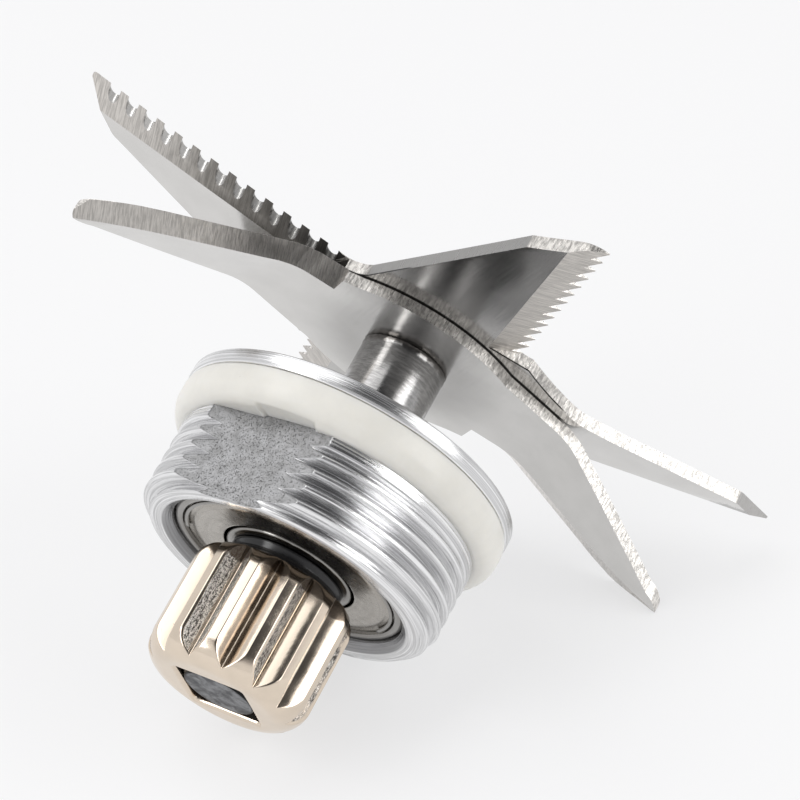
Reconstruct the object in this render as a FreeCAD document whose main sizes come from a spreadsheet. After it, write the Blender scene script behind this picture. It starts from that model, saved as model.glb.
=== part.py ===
import FreeCAD, Part

import math
import os

import Sketcher
from FreeCAD import Placement, Rotation, Vector

# Blender blade assembly: a ball-bearing spindle in a screw-in housing, with two
# stacked blade plates at the top and a splined drive coupling at the bottom.
# The spindle axis is Z, blades up. Z = 0 is the flange face that the gasket seats on.
# The long wings of the upper blade plate lie along X.

DOC = FreeCAD.newDocument("blade_assembly")
SHEET = DOC.addObject("Spreadsheet::Sheet", "sizes")

SIZES = {
    # housing
    "thread_radius": 14.0,
    "thread_pitch": 1.5,
    "thread_depth": 0.85,
    "thread_start": 3.9,
    "flange_overhang": 1.6,
    "flange_thickness": 1.37,
    "flange_chamfer": 0.35,
    "collar_step": 0.45,
    "housing_depth": 11.5,
    "foot_share": 0.6,
    "foot_chamfer": 1.0,
    "flat_share": 0.5333,
    "flat_azimuth": 225.3,
    "pocket_chamfer_share": 0.2333,
    "land_radius": 7.2,
    "land_thickness": 0.6,
    # gasket
    "gasket_overhang": 1.6,
    "gasket_thickness": 3.3,
    "gasket_relief": 0.45,
    "gasket_clearance": 0.1,
    # ball bearing
    "shaft_radius": 4.0,
    "bearing_radius": 11.0,
    "bearing_width": 7.0,
    "bearing_recess": 0.9,
    "bearing_chamfer": 0.35,
    "ball_radius": 1.98,
    "ball_count": 7,
    "inner_ring_wall": 2.0,
    "outer_ring_wall": 1.75,
    "shield_seat_wall": 1.0,
    "raceway_clearance": 0.05,
    "shield_thickness": 0.3,
    "shield_gap": 0.25,
    "snap_ring_width": 0.4,
    "snap_ring_gap": 143.0,
    "snap_ring_azimuth": 79.5,
    "cage_thickness": 0.35,
    "cage_half_width": 0.85,
    # shaft seal
    "seal_radius": 8.0,
    "seal_wall": 0.5,
    "seal_recess": 0.15,
    "seal_rise": 1.7,
    "lip_clearance": 0.06,
    "spring_wire": 0.22,
    # spindle and its fittings
    "circlip_radius": 5.0,
    "circlip_thickness": 0.7,
    "circlip_groove_depth": 0.3,
    "spigot_radius": 3.0,
    "spigot_flat": 2.4,
    "head_radius": 3.6,
    "head_height": 1.2,
    "tail_radius": 3.9,
    "tail_end_radius": 3.2,
    "tail_recess": 0.25,
    # drive coupling
    "coupling_radius": 7.5,
    "coupling_length": 11.1,
    "coupling_shoulder_width": 1.1,
    "coupling_shoulder_height": 1.7,
    "coupling_rounding": 2.5,
    "groove_count": 13,
    "groove_depth": 1.15,
    "groove_width": 3.0,
    "groove_floor": 0.5,
    "groove_azimuth": 3.4,
    "socket_side": 6.6,
    "socket_clearance": 0.05,
    "socket_azimuth": 54.0,
    "drive_washer_radius": 5.3,
    "drive_washer_thickness": 1.6,
    "drive_washer_hollow": 0.3,
    # blade plates
    "blade_seat": 11.7,
    "plate_thickness": 1.2,
    "washer_radius": 4.6,
    "washer_thickness": 0.8,
    "upper_bend_start": 11.5,
    "upper_bend_angle": 11.2,
    "upper_bend_azimuth": 21.4,
    "lower_bend_start": 14.2,
    "lower_bend_angle": 21.2,
    "lower_bend_azimuth": 12.8,
    "bend_radius": 9.0,
    "scallop_count": 13,
    "scallop_pitch": 1.95,
    "scallop_radius": 0.55,
    "scallop_depth": 0.9,
    "scallop_slant": 35.0,
    "saw_tooth_count": 13,
    "saw_tooth_depth": 1.1,
}

for row, (alias, value) in enumerate(SIZES.items(), start=1):
    SHEET.set("A%d" % row, alias)
    SHEET.set("B%d" % row, "%g" % value)
    SHEET.setAlias("B%d" % row, alias)
DOC.recompute()


def size(alias):
    """A driving dimension, read from the sheet."""
    return float(getattr(SHEET, alias))


def cell(alias):
    """The expression text that binds a property to a cell."""
    return "sizes.%s" % alias


# Levels worked out from the sheet
BEARING_FACE = -size("housing_depth") + size("bearing_recess")
BEARING_TOP = BEARING_FACE + size("bearing_width")
SEAL_SEAT = BEARING_TOP + size("land_thickness")
THREAD_WALL = size("thread_radius") - size("bearing_radius")
COLLAR_RADIUS = size("thread_radius") - size("collar_step")
PITCH_RADIUS = 0.5 * (size("shaft_radius") + size("bearing_radius"))
INNER_LAND = size("shaft_radius") + size("inner_ring_wall")
SHIELD_SEAT = size("bearing_radius") - size("shield_seat_wall")
SHIELD_DEPTH = 2.2 * size("shield_thickness")
COUPLING_TOP = BEARING_FACE - size("drive_washer_thickness")
COUPLING_END = COUPLING_TOP - size("coupling_length")
LOWER_TOP = size("blade_seat") + size("plate_thickness")
UPPER_TOP = LOWER_TOP + size("plate_thickness")
WASHER_TOP = UPPER_TOP + size("washer_thickness")
UP = Vector(0, 0, 1)
ORIGIN = Vector(0, 0, 0)
PARTS = []


def add_part(label, shape):
    """A sub-part whose shape is worked out from the sheet's sizes."""
    feature = DOC.addObject("Part::Feature", label)
    feature.Label = label
    feature.Shape = shape
    feature.Placement = Placement()
    PARTS.append(feature)
    return feature


def register(feature, label):
    """Names a finished parametric object as a sub-part."""
    feature.Label = label
    PARTS.append(feature)
    return feature


def ring(points):
    """A solid turned about Z from a closed outline of (radius, height) points."""
    corners = [Vector(r, 0, z) for r, z in points]
    face = Part.Face(Part.makePolygon(corners + corners[:1]))
    return face.revolve(ORIGIN, UP, 360)


def turned(edges):
    """A solid turned about Z from the edges of a closed outline."""
    return Part.Face(Part.Wire(edges)).revolve(ORIGIN, UP, 360)


def line(a, b):
    return Part.LineSegment(a, b).toShape()


def arc(a, middle, b):
    return Part.Arc(a, middle, b).toShape()


def profile_point(radius, height):
    return Vector(radius, 0, height)


# Housing: a turned body with a shoulder for the bearing, a pocket for the seal,
# a coarse outside thread and two milled flats


def housing_blank():
    depth = -size("housing_depth")
    chamfer = size("flange_chamfer")
    flange = size("thread_radius") + size("flange_overhang")
    top = size("flange_thickness")
    bore = size("bearing_radius")
    entry = size("pocket_chamfer_share") * THREAD_WALL
    thread_end = -size("thread_start")
    outline = [
        (bore + entry, depth),
        (bore + size("foot_share") * THREAD_WALL, depth),
        (size("thread_radius"), depth + size("foot_chamfer")),
        (size("thread_radius"), thread_end),
        (COLLAR_RADIUS, thread_end + size("collar_step")),
        (COLLAR_RADIUS, 0),
        (flange - chamfer / 2, 0),
        (flange, chamfer),
        (flange, top - chamfer / 2),
        (flange - chamfer / 2, top),
        (size("seal_radius"), top),
        (size("seal_radius"), SEAL_SEAT),
        (size("land_radius"), SEAL_SEAT),
        (size("land_radius"), BEARING_TOP),
        (bore, BEARING_TOP),
        (bore, depth + entry),
    ]
    return ring(outline)


def thread_cutter():
    """The thread's groove: a trapezoid carried along a helix below the collar."""
    pitch = size("thread_pitch")
    radius = size("thread_radius")
    depth = size("thread_depth")
    start = -size("housing_depth") - pitch
    height = size("housing_depth") - size("thread_start") + 0.6 * pitch
    helix = Part.makeHelix(pitch, height, radius)
    helix.translate(Vector(0, 0, start))
    outside = radius + 0.4
    root = radius - depth
    mouth = 0.46 * pitch
    floor = 0.12 * pitch
    corners = [
        Vector(outside, 0, start - mouth),
        Vector(root, 0, start - floor),
        Vector(root, 0, start + floor),
        Vector(outside, 0, start + mouth),
    ]
    profile = Part.makePolygon(corners + corners[:1])
    return Part.Wire(helix).makePipeShell([profile], True, True)


def housing_flat(azimuth):
    """A block that mills one flat, up to the flat's top edge."""
    depth = size("housing_depth")
    width = 2 * size("thread_radius")
    distance = size("bearing_radius") + size("flat_share") * THREAD_WALL
    block = Part.makeBox(5, width, depth - size("gasket_thickness") + 2)
    block.translate(Vector(distance, -width / 2, -depth - 1))
    block.rotate(ORIGIN, UP, azimuth)
    return block


housing = housing_blank().cut(thread_cutter())
for turn in (0, 180):
    housing = housing.cut(housing_flat(size("flat_azimuth") + turn))
add_part("housing", housing)


# Gasket: a silicone ring that bulges below the flange

def gasket_shape():
    inner = COLLAR_RADIUS
    outer = size("thread_radius") + size("gasket_overhang")
    low = -size("gasket_thickness")
    clear = size("thread_radius") + size("gasket_clearance")
    shoulder = profile_point(outer - 0.3, 0)
    crown = profile_point(outer, 0.35 * low)
    heel = profile_point(outer - 0.48 * size("gasket_overhang"), 0.93 * low)
    toe = profile_point(clear + 0.25 * size("gasket_overhang"), low)
    # the face that presses on the jar starts clear of the thread
    lip = profile_point(clear, low)
    back = profile_point(inner, low + size("gasket_relief"))
    seat = profile_point(inner, 0)
    return turned([
        line(seat, shoulder),
        arc(shoulder, profile_point(outer - 0.07, 0.15 * low), crown),
        arc(crown, profile_point(outer - 0.22, 0.7 * low), heel),
        line(heel, toe),
        line(toe, lip),
        line(lip, back),
        line(back, seat),
    ])


add_part("gasket", gasket_shape())


# Ball bearing: inner and outer ring, two shields, seven balls and a riveted ribbon cage


def bearing_rings():
    low = BEARING_FACE
    high = BEARING_TOP
    bore = size("shaft_radius")
    land = INNER_LAND
    outer = size("bearing_radius")
    outer_land = outer - size("outer_ring_wall")
    seat = SHIELD_SEAT
    chamfer = size("bearing_chamfer")
    seat_depth = SHIELD_DEPTH
    middle = 0.5 * (low + high)
    track = size("ball_radius") + size("raceway_clearance")
    raceway = Part.makeTorus(PITCH_RADIUS, track, Vector(0, 0, middle), UP)
    inner_ring = ring([
        (bore, low), (land - chamfer / 2, low), (land, low + chamfer / 2),
        (land, high - chamfer / 2), (land - chamfer / 2, high), (bore, high),
    ])
    add_part("bearing_inner_ring", inner_ring.cut(raceway))
    outer_ring = ring([
        (seat, low), (outer - chamfer, low), (outer, low + chamfer),
        (outer, high - chamfer), (outer - chamfer, high), (seat, high),
        (seat, high - seat_depth), (outer_land, high - seat_depth),
        (outer_land, low + seat_depth), (seat, low + seat_depth),
    ])
    add_part("bearing_outer_ring", outer_ring.cut(raceway))


def bearing_shields():
    """Two pressed discs, each held in the outer ring by an open snap ring."""
    gauge = size("shield_thickness")
    seat = SHIELD_SEAT
    hole = INNER_LAND + size("shield_gap")
    rim = seat - 1.5 * size("snap_ring_width")
    ring_inside = seat - size("snap_ring_width")
    for side, face, step in (("lower", BEARING_FACE, 1), ("upper", BEARING_TOP, -1)):
        web = face + 0.7 * gauge * step
        floor = face + SHIELD_DEPTH * step
        low_rim = floor - gauge * step
        add_part(side + "_shield", ring([
            (hole, web), (rim - gauge, web), (rim, low_rim), (seat, low_rim), (seat, floor),
            (rim - 0.5 * gauge, floor), (rim - 1.5 * gauge, web + gauge * step),
            (hole, web + gauge * step),
        ]))
        band = Part.Face(Part.makePolygon([
            profile_point(ring_inside, face + 0.1 * gauge * step),
            profile_point(seat, face + 0.1 * gauge * step),
            profile_point(seat, low_rim),
            profile_point(ring_inside, low_rim),
            profile_point(ring_inside, face + 0.1 * gauge * step),
        ]))
        band.rotate(ORIGIN, UP, size("snap_ring_azimuth") + 0.5 * size("snap_ring_gap"))
        add_part(side + "_shield_ring", band.revolve(ORIGIN, UP, 360 - size("snap_ring_gap")))


def ball_centres():
    count = int(size("ball_count"))
    middle = 0.5 * (BEARING_FACE + BEARING_TOP)
    for number in range(count):
        angle = 2 * math.pi * number / count
        yield Vector(PITCH_RADIUS * math.cos(angle), PITCH_RADIUS * math.sin(angle), middle)


def ball_cage():
    """Two pressed ribbons that wrap the balls from below and above and meet between them."""
    middle = 0.5 * (BEARING_FACE + BEARING_TOP)
    pitch = PITCH_RADIUS
    half = size("cage_half_width")
    gauge = size("cage_thickness")
    pocket = size("ball_radius") + size("raceway_clearance")
    shells = [Part.makeSphere(pocket + gauge, centre) for centre in ball_centres()]
    pockets = [Part.makeSphere(pocket, centre) for centre in ball_centres()]
    for side, step in (("lower", -1), ("upper", 1)):
        reach = (pocket + 2 * gauge) * step
        band = ring([
            (pitch - half, middle), (pitch + half, middle),
            (pitch + half, middle + reach), (pitch - half, middle + reach),
        ])
        web = ring([
            (pitch - half, middle), (pitch + half, middle),
            (pitch + half, middle + gauge * step), (pitch - half, middle + gauge * step),
        ])
        ribbon = web.fuse([band.common(shell) for shell in shells])
        add_part("cage_%s_half" % side, ribbon.cut(pockets).removeSplitter())


bearing_rings()
bearing_shields()
ball_cage()
for number, centre in enumerate(ball_centres(), start=1):
    ball = DOC.addObject("Part::Sphere", "ball_%d" % number)
    ball.setExpression("Radius", cell("ball_radius"))
    ball.Placement = Placement(centre, Rotation())
    register(ball, "ball_%d" % number)


# Rings around the spindle


def tube(label, inner, outer, low, height):
    """A plain ring: two bound cylinders, one cut from the other."""
    solid = DOC.addObject("Part::Cylinder", label + "_outside")
    hole = DOC.addObject("Part::Cylinder", label + "_hole")
    solid.setExpression("Radius", outer)
    hole.setExpression("Radius", inner)
    for cylinder in (solid, hole):
        cylinder.setExpression("Height", height)
        cylinder.setExpression("Placement.Base.z", low)
    cut = DOC.addObject("Part::Cut", label)
    cut.Base = solid
    cut.Tool = hole
    return register(cut, label)


tube(
    "shaft_circlip",
    cell("shaft_radius") + " - " + cell("circlip_groove_depth"),
    cell("circlip_radius"),
    "-%s + %s + %s" % (cell("housing_depth"), cell("bearing_recess"), cell("bearing_width")),
    cell("circlip_thickness"),
)
tube(
    "blade_washer",
    cell("spigot_radius"),
    cell("washer_radius"),
    "%s + 2 * %s" % (cell("blade_seat"), cell("plate_thickness")),
    cell("washer_thickness"),
)


# Shaft seal: pressed case, rubber with a main lip and a dust lip, and garter spring


def shaft_seal():
    outer = size("seal_radius")
    wall = size("seal_wall")
    top = size("flange_thickness") - size("seal_recess")
    hole = outer - 4.2 * wall
    add_part("seal_case", ring([
        (outer - wall, SEAL_SEAT), (outer, SEAL_SEAT), (outer, top),
        (hole, top), (hole, top - wall), (outer - wall, top - wall),
    ]))
    lip = size("shaft_radius") + size("lip_clearance")
    back = lip + 2 * wall
    rise = size("flange_thickness") + size("seal_rise")
    body = top - 2 * wall
    room = body - SEAL_SEAT
    edge = SEAL_SEAT + 0.65 * room
    foot = edge - 0.22 * room
    add_part("seal_lip", ring([
        (lip, edge), (back - 0.4, foot), (back, foot), (back, body),
        (outer - wall, body), (outer - wall, top - wall), (hole, top - wall), (hole, top),
        (back + 0.25, top), (lip + 0.8, rise - 0.3), (lip + 0.2, rise), (lip, rise - 0.1),
        (lip + 0.4, rise - 1.2), (lip + 0.4, body), (lip, edge + 0.1 * room),
    ]))
    wire = size("spring_wire")
    spring_height = edge - 0.06 * room
    add_part("seal_spring", Part.makeTorus(back + wire, wire, Vector(0, 0, spring_height), UP))


shaft_seal()


# Spindle: squared drive tail, bearing and seal seat, blade shoulder, flattened spigot
# and peened head


def double_d(radius, flat, low, height):
    """A round bar with two flats, across Y."""
    bar = Part.makeCylinder(radius, height, Vector(0, 0, low))
    block = Part.makeBox(2 * radius, 2 * flat, height)
    block.translate(Vector(-radius, -flat, low))
    return bar.common(block)


def square_bar(side, low, height, azimuth):
    bar = Part.makeBox(side, side, height)
    bar.translate(Vector(-side / 2, -side / 2, low))
    bar.rotate(ORIGIN, UP, azimuth)
    return bar


def round_bar(radius, low, high):
    return Part.makeCylinder(radius, high - low, Vector(0, 0, low))


def shaft_shape():
    radius = size("shaft_radius")
    tail_radius = size("tail_radius")
    end_radius = size("tail_end_radius")
    groove = radius - size("circlip_groove_depth")
    seat = size("blade_seat")
    clip_top = BEARING_TOP + size("circlip_thickness")
    tail_end = COUPLING_END + size("tail_recess")
    taper = tail_radius - end_radius
    side = size("socket_side") - 2 * size("socket_clearance")
    tail = round_bar(tail_radius, tail_end + taper, COUPLING_TOP).fuse(
        Part.makeCone(end_radius, tail_radius, taper, Vector(0, 0, tail_end)))
    tail = tail.common(square_bar(side, tail_end, size("coupling_length"), size("socket_azimuth")))
    spigot = double_d(size("spigot_radius"), size("spigot_flat"), seat, WASHER_TOP - seat)
    head_radius = size("head_radius")
    head_height = size("head_height")
    crown = (head_radius ** 2 + head_height ** 2) / (2 * head_height)
    head = round_bar(head_radius, WASHER_TOP, WASHER_TOP + head_height).common(
        Part.makeSphere(crown, Vector(0, 0, WASHER_TOP + head_height - crown)))
    return tail.fuse([
        round_bar(radius, COUPLING_TOP, BEARING_TOP),
        round_bar(groove, BEARING_TOP, clip_top),
        round_bar(radius, clip_top, seat),
        spigot,
        head,
    ])


add_part("shaft", shaft_shape())


# Drive coupling: a barrel with straight grooves, rounded at the end, and a square
# hole around the tail of the spindle. The barrel is a body of sketched features.


def origin_plane(body, role):
    for feature in body.Origin.OriginFeatures:
        if feature.Role == role:
            return feature
    raise RuntimeError("no plane " + role)


def coupling_body():
    body = DOC.addObject("PartDesign::Body", "coupling_barrel")
    radius = size("coupling_radius")
    shoulder = radius - size("coupling_shoulder_width")
    shoulder_foot = COUPLING_TOP - size("coupling_shoulder_height")
    rounding = size("coupling_rounding")
    end = COUPLING_END
    section = body.newObject("Sketcher::SketchObject", "barrel_section")
    section.AttachmentSupport = [(origin_plane(body, "XZ_Plane"), "")]
    section.MapMode = "FlatFace"
    corners = [
        Vector(0, end, 0), Vector(radius - rounding, end, 0), Vector(radius, end + rounding, 0),
        Vector(radius, shoulder_foot, 0), Vector(shoulder, COUPLING_TOP, 0),
        Vector(0, COUPLING_TOP, 0),
    ]
    quarter = rounding * math.sqrt(0.5)
    lower_arc = Vector(radius - rounding + quarter, end + rounding - quarter, 0)
    upper_arc = Vector(
        radius - 0.32 * size("coupling_shoulder_width"),
        COUPLING_TOP - 0.38 * size("coupling_shoulder_height"), 0)
    geometry = [
        Part.LineSegment(corners[0], corners[1]),
        Part.Arc(corners[1], lower_arc, corners[2]),
        Part.LineSegment(corners[2], corners[3]),
        Part.Arc(corners[3], upper_arc, corners[4]),
        Part.LineSegment(corners[4], corners[5]),
        Part.LineSegment(corners[5], corners[0]),
    ]
    for piece in geometry:
        section.addGeometry(piece, False)
    barrel = body.newObject("PartDesign::Revolution", "barrel")
    barrel.Profile = section
    barrel.ReferenceAxis = (section, ["V_Axis"])
    barrel.Angle = 360
    DOC.recompute()

    grooves = body.newObject("Sketcher::SketchObject", "groove_section")
    grooves.AttachmentSupport = [(origin_plane(body, "XY_Plane"), "")]
    grooves.MapMode = "FlatFace"
    floor = radius - size("groove_depth")
    half_floor = size("groove_floor") / 2
    half_width = size("groove_width") / 2
    outside = radius + 1
    flare = half_width + (half_width - half_floor) / size("groove_depth")
    turn = Rotation(UP, size("groove_azimuth"))
    groove = [turn.multVec(corner) for corner in (
        Vector(floor, -half_floor, 0), Vector(outside, -flare, 0),
        Vector(outside, flare, 0), Vector(floor, half_floor, 0),
    )]
    for index in range(4):
        grooves.addGeometry(Part.LineSegment(groove[index], groove[(index + 1) % 4]), False)
    pocket = body.newObject("PartDesign::Pocket", "groove")
    pocket.Profile = grooves
    pocket.Type = 0
    pocket.setExpression("Length", "%s + %s + %s" % (
        cell("housing_depth"), cell("coupling_length"), cell("drive_washer_thickness")))
    DOC.recompute()

    pattern = body.newObject("PartDesign::PolarPattern", "groove_pattern")
    pattern.Originals = [pocket]
    pattern.Axis = (grooves, ["N_Axis"])
    pattern.Angle = 360
    pattern.setExpression("Occurrences", cell("groove_count"))
    body.Tip = pattern
    DOC.recompute()
    solid = math.pi * radius * radius * size("coupling_length")
    if not 0.6 * solid < body.Shape.Volume < 0.9 * solid:
        raise RuntimeError("the grooves did not cut the barrel")
    return body


coupling_base = coupling_body()
socket = DOC.addObject("Part::Box", "socket_block")
for side in ("Length", "Width"):
    socket.setExpression(side, cell("socket_side"))
socket.setExpression("Height", cell("coupling_length"))
half_side = size("socket_side") / 2
socket_turn = Rotation(UP, size("socket_azimuth"))
socket.Placement = Placement(
    Vector(0, 0, COUPLING_END) - socket_turn.multVec(Vector(half_side, half_side, 0)), socket_turn)
coupling = DOC.addObject("Part::Cut", "drive_coupling")
coupling.Base = coupling_base
coupling.Tool = socket
register(coupling, "drive_coupling")


# Black spacer washer between the coupling and the bearing, with a hollow rim


def drive_washer_shape():
    inner = size("shaft_radius")
    outer = size("drive_washer_radius")
    low = profile_point(outer, COUPLING_TOP)
    high = profile_point(outer, BEARING_FACE)
    hollow = outer - size("drive_washer_hollow")
    waist = profile_point(hollow, 0.5 * (COUPLING_TOP + BEARING_FACE))
    inner_low = profile_point(inner, COUPLING_TOP)
    inner_high = profile_point(inner, BEARING_FACE)
    return turned([
        line(inner_low, low), arc(low, waist, high), line(high, inner_high),
        line(inner_high, inner_low),
    ])


add_part("drive_washer", drive_washer_shape())


# Blade plates: each is a bent strip of sheet, cut to its outline seen from above,
# then ground and toothed along its leading edges. Both plates repeat after half a turn.


def flat_point(x, y):
    return Vector(x, y, 0)


def half_turn(vector):
    return Vector(-vector.x, -vector.y, vector.z)


def bent_sheet(low, bend_start, bend_angle, azimuth):
    """A wide strip of sheet whose two ends bend by an angle, up or down."""
    thickness = size("plate_thickness")
    radius = size("bend_radius")
    reach = 48
    angle = math.radians(bend_angle)
    sign = 1 if angle > 0 else -1
    turn = abs(angle)
    inner = radius - thickness / 2
    outer = radius + thickness / 2
    # the bend's centre lies above the sheet when it bends up, and below when down
    start = bend_start - radius * math.tan(turn / 2)
    pivot = low + thickness / 2 + sign * radius

    def bend_point(distance, part):
        a = turn * part
        return Vector(start + distance * math.sin(a), 0, pivot - sign * distance * math.cos(a))

    def run_out(point):
        length = reach - point.x
        return point + Vector(length, 0, sign * length * math.tan(turn))

    near = (bend_point(outer, 0), bend_point(outer, 0.5), bend_point(outer, 1))
    far = (bend_point(inner, 0), bend_point(inner, 0.5), bend_point(inner, 1))
    def mirror(point):
        return Vector(-point.x, 0, point.z)

    near_end = run_out(near[2])
    far_end = run_out(far[2])
    edges = [
        line(mirror(near[0]), near[0]),
        arc(*near),
        line(near[2], near_end),
        line(near_end, far_end),
        line(far_end, far[2]),
        arc(far[2], far[1], far[0]),
        line(far[0], mirror(far[0])),
        arc(mirror(far[0]), mirror(far[1]), mirror(far[2])),
        line(mirror(far[2]), mirror(far_end)),
        line(mirror(far_end), mirror(near_end)),
        line(mirror(near_end), mirror(near[2])),
        arc(mirror(near[2]), mirror(near[1]), mirror(near[0])),
    ]
    face = Part.Face(Part.Wire(Part.__sortEdges__(edges)))
    strip = face.extrude(Vector(0, 2 * reach, 0))
    strip.translate(Vector(0, -reach, 0))
    strip.rotate(ORIGIN, UP, azimuth)
    return strip


def outline_prism(half, low, high):
    """A prism of an outline given as half its edges: lists of two or three points."""
    edges = []
    for turn in (lambda p: p, half_turn):
        for points in half:
            corners = [turn(flat_point(*p)) for p in points]
            edges.append(line(*corners) if len(corners) == 2 else arc(*corners))
    face = Part.Face(Part.Wire(Part.__sortEdges__(edges)))
    prism = face.extrude(Vector(0, 0, high - low))
    prism.translate(Vector(0, 0, low))
    return prism


def sheet_height(point, top, low, bend_start, bend_angle, azimuth):
    """The height of a bent sheet's top or underside at a place seen from above."""
    thickness = size("plate_thickness")
    radius = size("bend_radius")
    sign = 1 if bend_angle > 0 else -1
    turn = math.radians(abs(bend_angle))
    a = math.radians(azimuth)
    along = abs(point[0] * math.cos(a) + point[1] * math.sin(a))
    start = bend_start - radius * math.tan(turn / 2)
    side = -0.5 if top else 0.5
    reach = radius + side * sign * thickness
    pivot = low + thickness / 2 + sign * radius
    past = along - start
    if past <= 0:
        return pivot - sign * reach
    if past < reach * math.sin(turn):
        return pivot - sign * math.sqrt(reach ** 2 - past ** 2)
    end = pivot - sign * reach * math.cos(turn)
    return end + sign * math.tan(turn) * (past - reach * math.sin(turn))


def grinding_tool(stations, bend):
    """A solid whose one face is the ground bevel along a curved, bent edge.

    Each station is (x, y of the sharp edge, y of the bevel's inner line).
    """
    sections = []
    for x, edge_y, inner_y in stations:
        edge = Vector(x, edge_y, sheet_height((x, edge_y), True, *bend))
        inner = Vector(x, inner_y, sheet_height((x, inner_y), False, *bend))
        across = (inner - edge).normalize()
        away = Vector(0, -across.z, across.y)
        corners = [edge - across * 2, inner + across * 2]
        corners += [corners[1] + away * 5, corners[0] + away * 5]
        sections.append(Part.makePolygon(corners + corners[:1]))
    return Part.makeLoft(sections, True, True)


def bevel_tool(start, end, inner, outward):
    """A block whose one face is the ground bevel through an upper edge and a lower point."""
    along = (end - start).normalize()
    across = inner - start
    across = (across - along * across.dot(along)).normalize()
    normal = along.cross(across)
    if normal.dot(outward) < 0:
        normal = normal * -1
    a = start - along * 0.05 - across * 4
    b = end + along * 0.05 - across * 4
    c = end + along * 0.05 + across * 7
    d = start - along * 0.05 + across * 7
    face = Part.Face(Part.makePolygon([a, b, c, d, a]))
    return face.extrude(normal * 6)


def scallop_tool(centre, along, inward):
    """A round-ended slot across the edge, slanting inwards on its way down."""
    radius = size("scallop_radius")
    slant = math.radians(size("scallop_slant"))
    axis = inward * math.sin(slant) - UP * math.cos(slant)
    top = centre + inward * (size("scallop_depth") - radius) - axis * 4
    left = top - along * radius
    right = top + along * radius
    left_end = left - inward * 4
    right_end = right - inward * 4
    face = Part.Face(Part.Wire([
        line(left_end, left), arc(left, top + inward * radius, right),
        line(right, right_end), line(right_end, left_end),
    ]))
    return face.extrude(axis * 8)


def double_d_hole(low, high):
    return double_d(size("spigot_radius"), size("spigot_flat"), low, high - low)


def both_ends(shape):
    """The shape and its copy after half a turn."""
    other = shape.copy()
    other.rotate(ORIGIN, UP, 180)
    return [shape, other]


# Outlines in millimetres, seen from above: one half of each plate

UPPER_HALF = [
    [(7.0, -9.7), (7.3, -10.1), (7.9, -9.95)],
    [(7.9, -9.95), (12.8, -7.1), (18.5, -5.5)],
    [(18.5, -5.5), (31.4, -3.95)],
    [(31.4, -3.95), (32.0, -3.85), (32.5, -3.5)],
    [(32.5, -3.5), (36.3, -0.45)],
    [(36.3, -0.45), (36.35, -0.05), (36.0, 0.2)],
    [(36.0, 0.2), (23.5, 2.9), (10.9, 6.1)],
    [(10.9, 6.1), (9.0, 6.6), (7.8, 7.9)],
    [(7.8, 7.9), (1.0, 28.6)],
    [(1.0, 28.6), (-1.9, 32.3)],
    [(-1.9, 32.3), (-2.6, 32.9), (-4.2, 33.2)],
    [(-4.2, 33.2), (-7.0, 9.7)],
]
LOWER_HALF = [
    [(-7.8, -7.5), (0.2, -9.6), (7.6, -7.2)],
    [(7.6, -7.2), (18.2, -3.7), (29.4, 0.5)],
    [(29.4, 0.5), (31.6, 2.2), (31.0, 4.2)],
    [(31.0, 4.2), (27.2, 5.8), (22.5, 6.2)],
    [(22.5, 6.2), (9.3, 6.9)],
    [(9.3, 6.9), (7.8, 7.5)],
]
SHARP_EDGE = ((36.0, 0.2), (23.5, 2.9), (10.9, 6.1))
SAW_EDGE = ((4.2, -33.2), (7.0, -9.7))

# Stations of the ground bevels: place along X, sharp edge, inner line

UPPER_GRIND = [
    (9.6, 6.5, 4.2), (10.9, 6.1, 3.8), (11.6, 5.9, 3.6), (12.4, 5.69, 3.4), (16.0, 4.74, 2.3),
    (20.0, 3.74, 1.3), (23.5, 2.9, 0.4), (28.0, 1.87, -0.7), (32.0, 1.02, -1.7),
    (36.0, 0.2, -2.7), (38.0, -0.2, -3.2),
]
LOWER_GRIND = [
    (9.25, 6.9, 4.5), (12.0, 6.76, 4.35), (13.0, 6.71, 4.25), (14.0, 6.65, 4.1),
    (15.0, 6.6, 3.97), (16.0, 6.55, 3.85), (18.0, 6.44, 3.7), (22.5, 6.2, 3.4),
    (25.0, 6.1, 3.1), (27.2, 5.8, 2.7), (29.2, 5.2, 2.15), (31.0, 4.3, 1.5), (33.0, 3.0, 0.7),
]


def place(point, height):
    return Vector(point[0], point[1], height)


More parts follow.
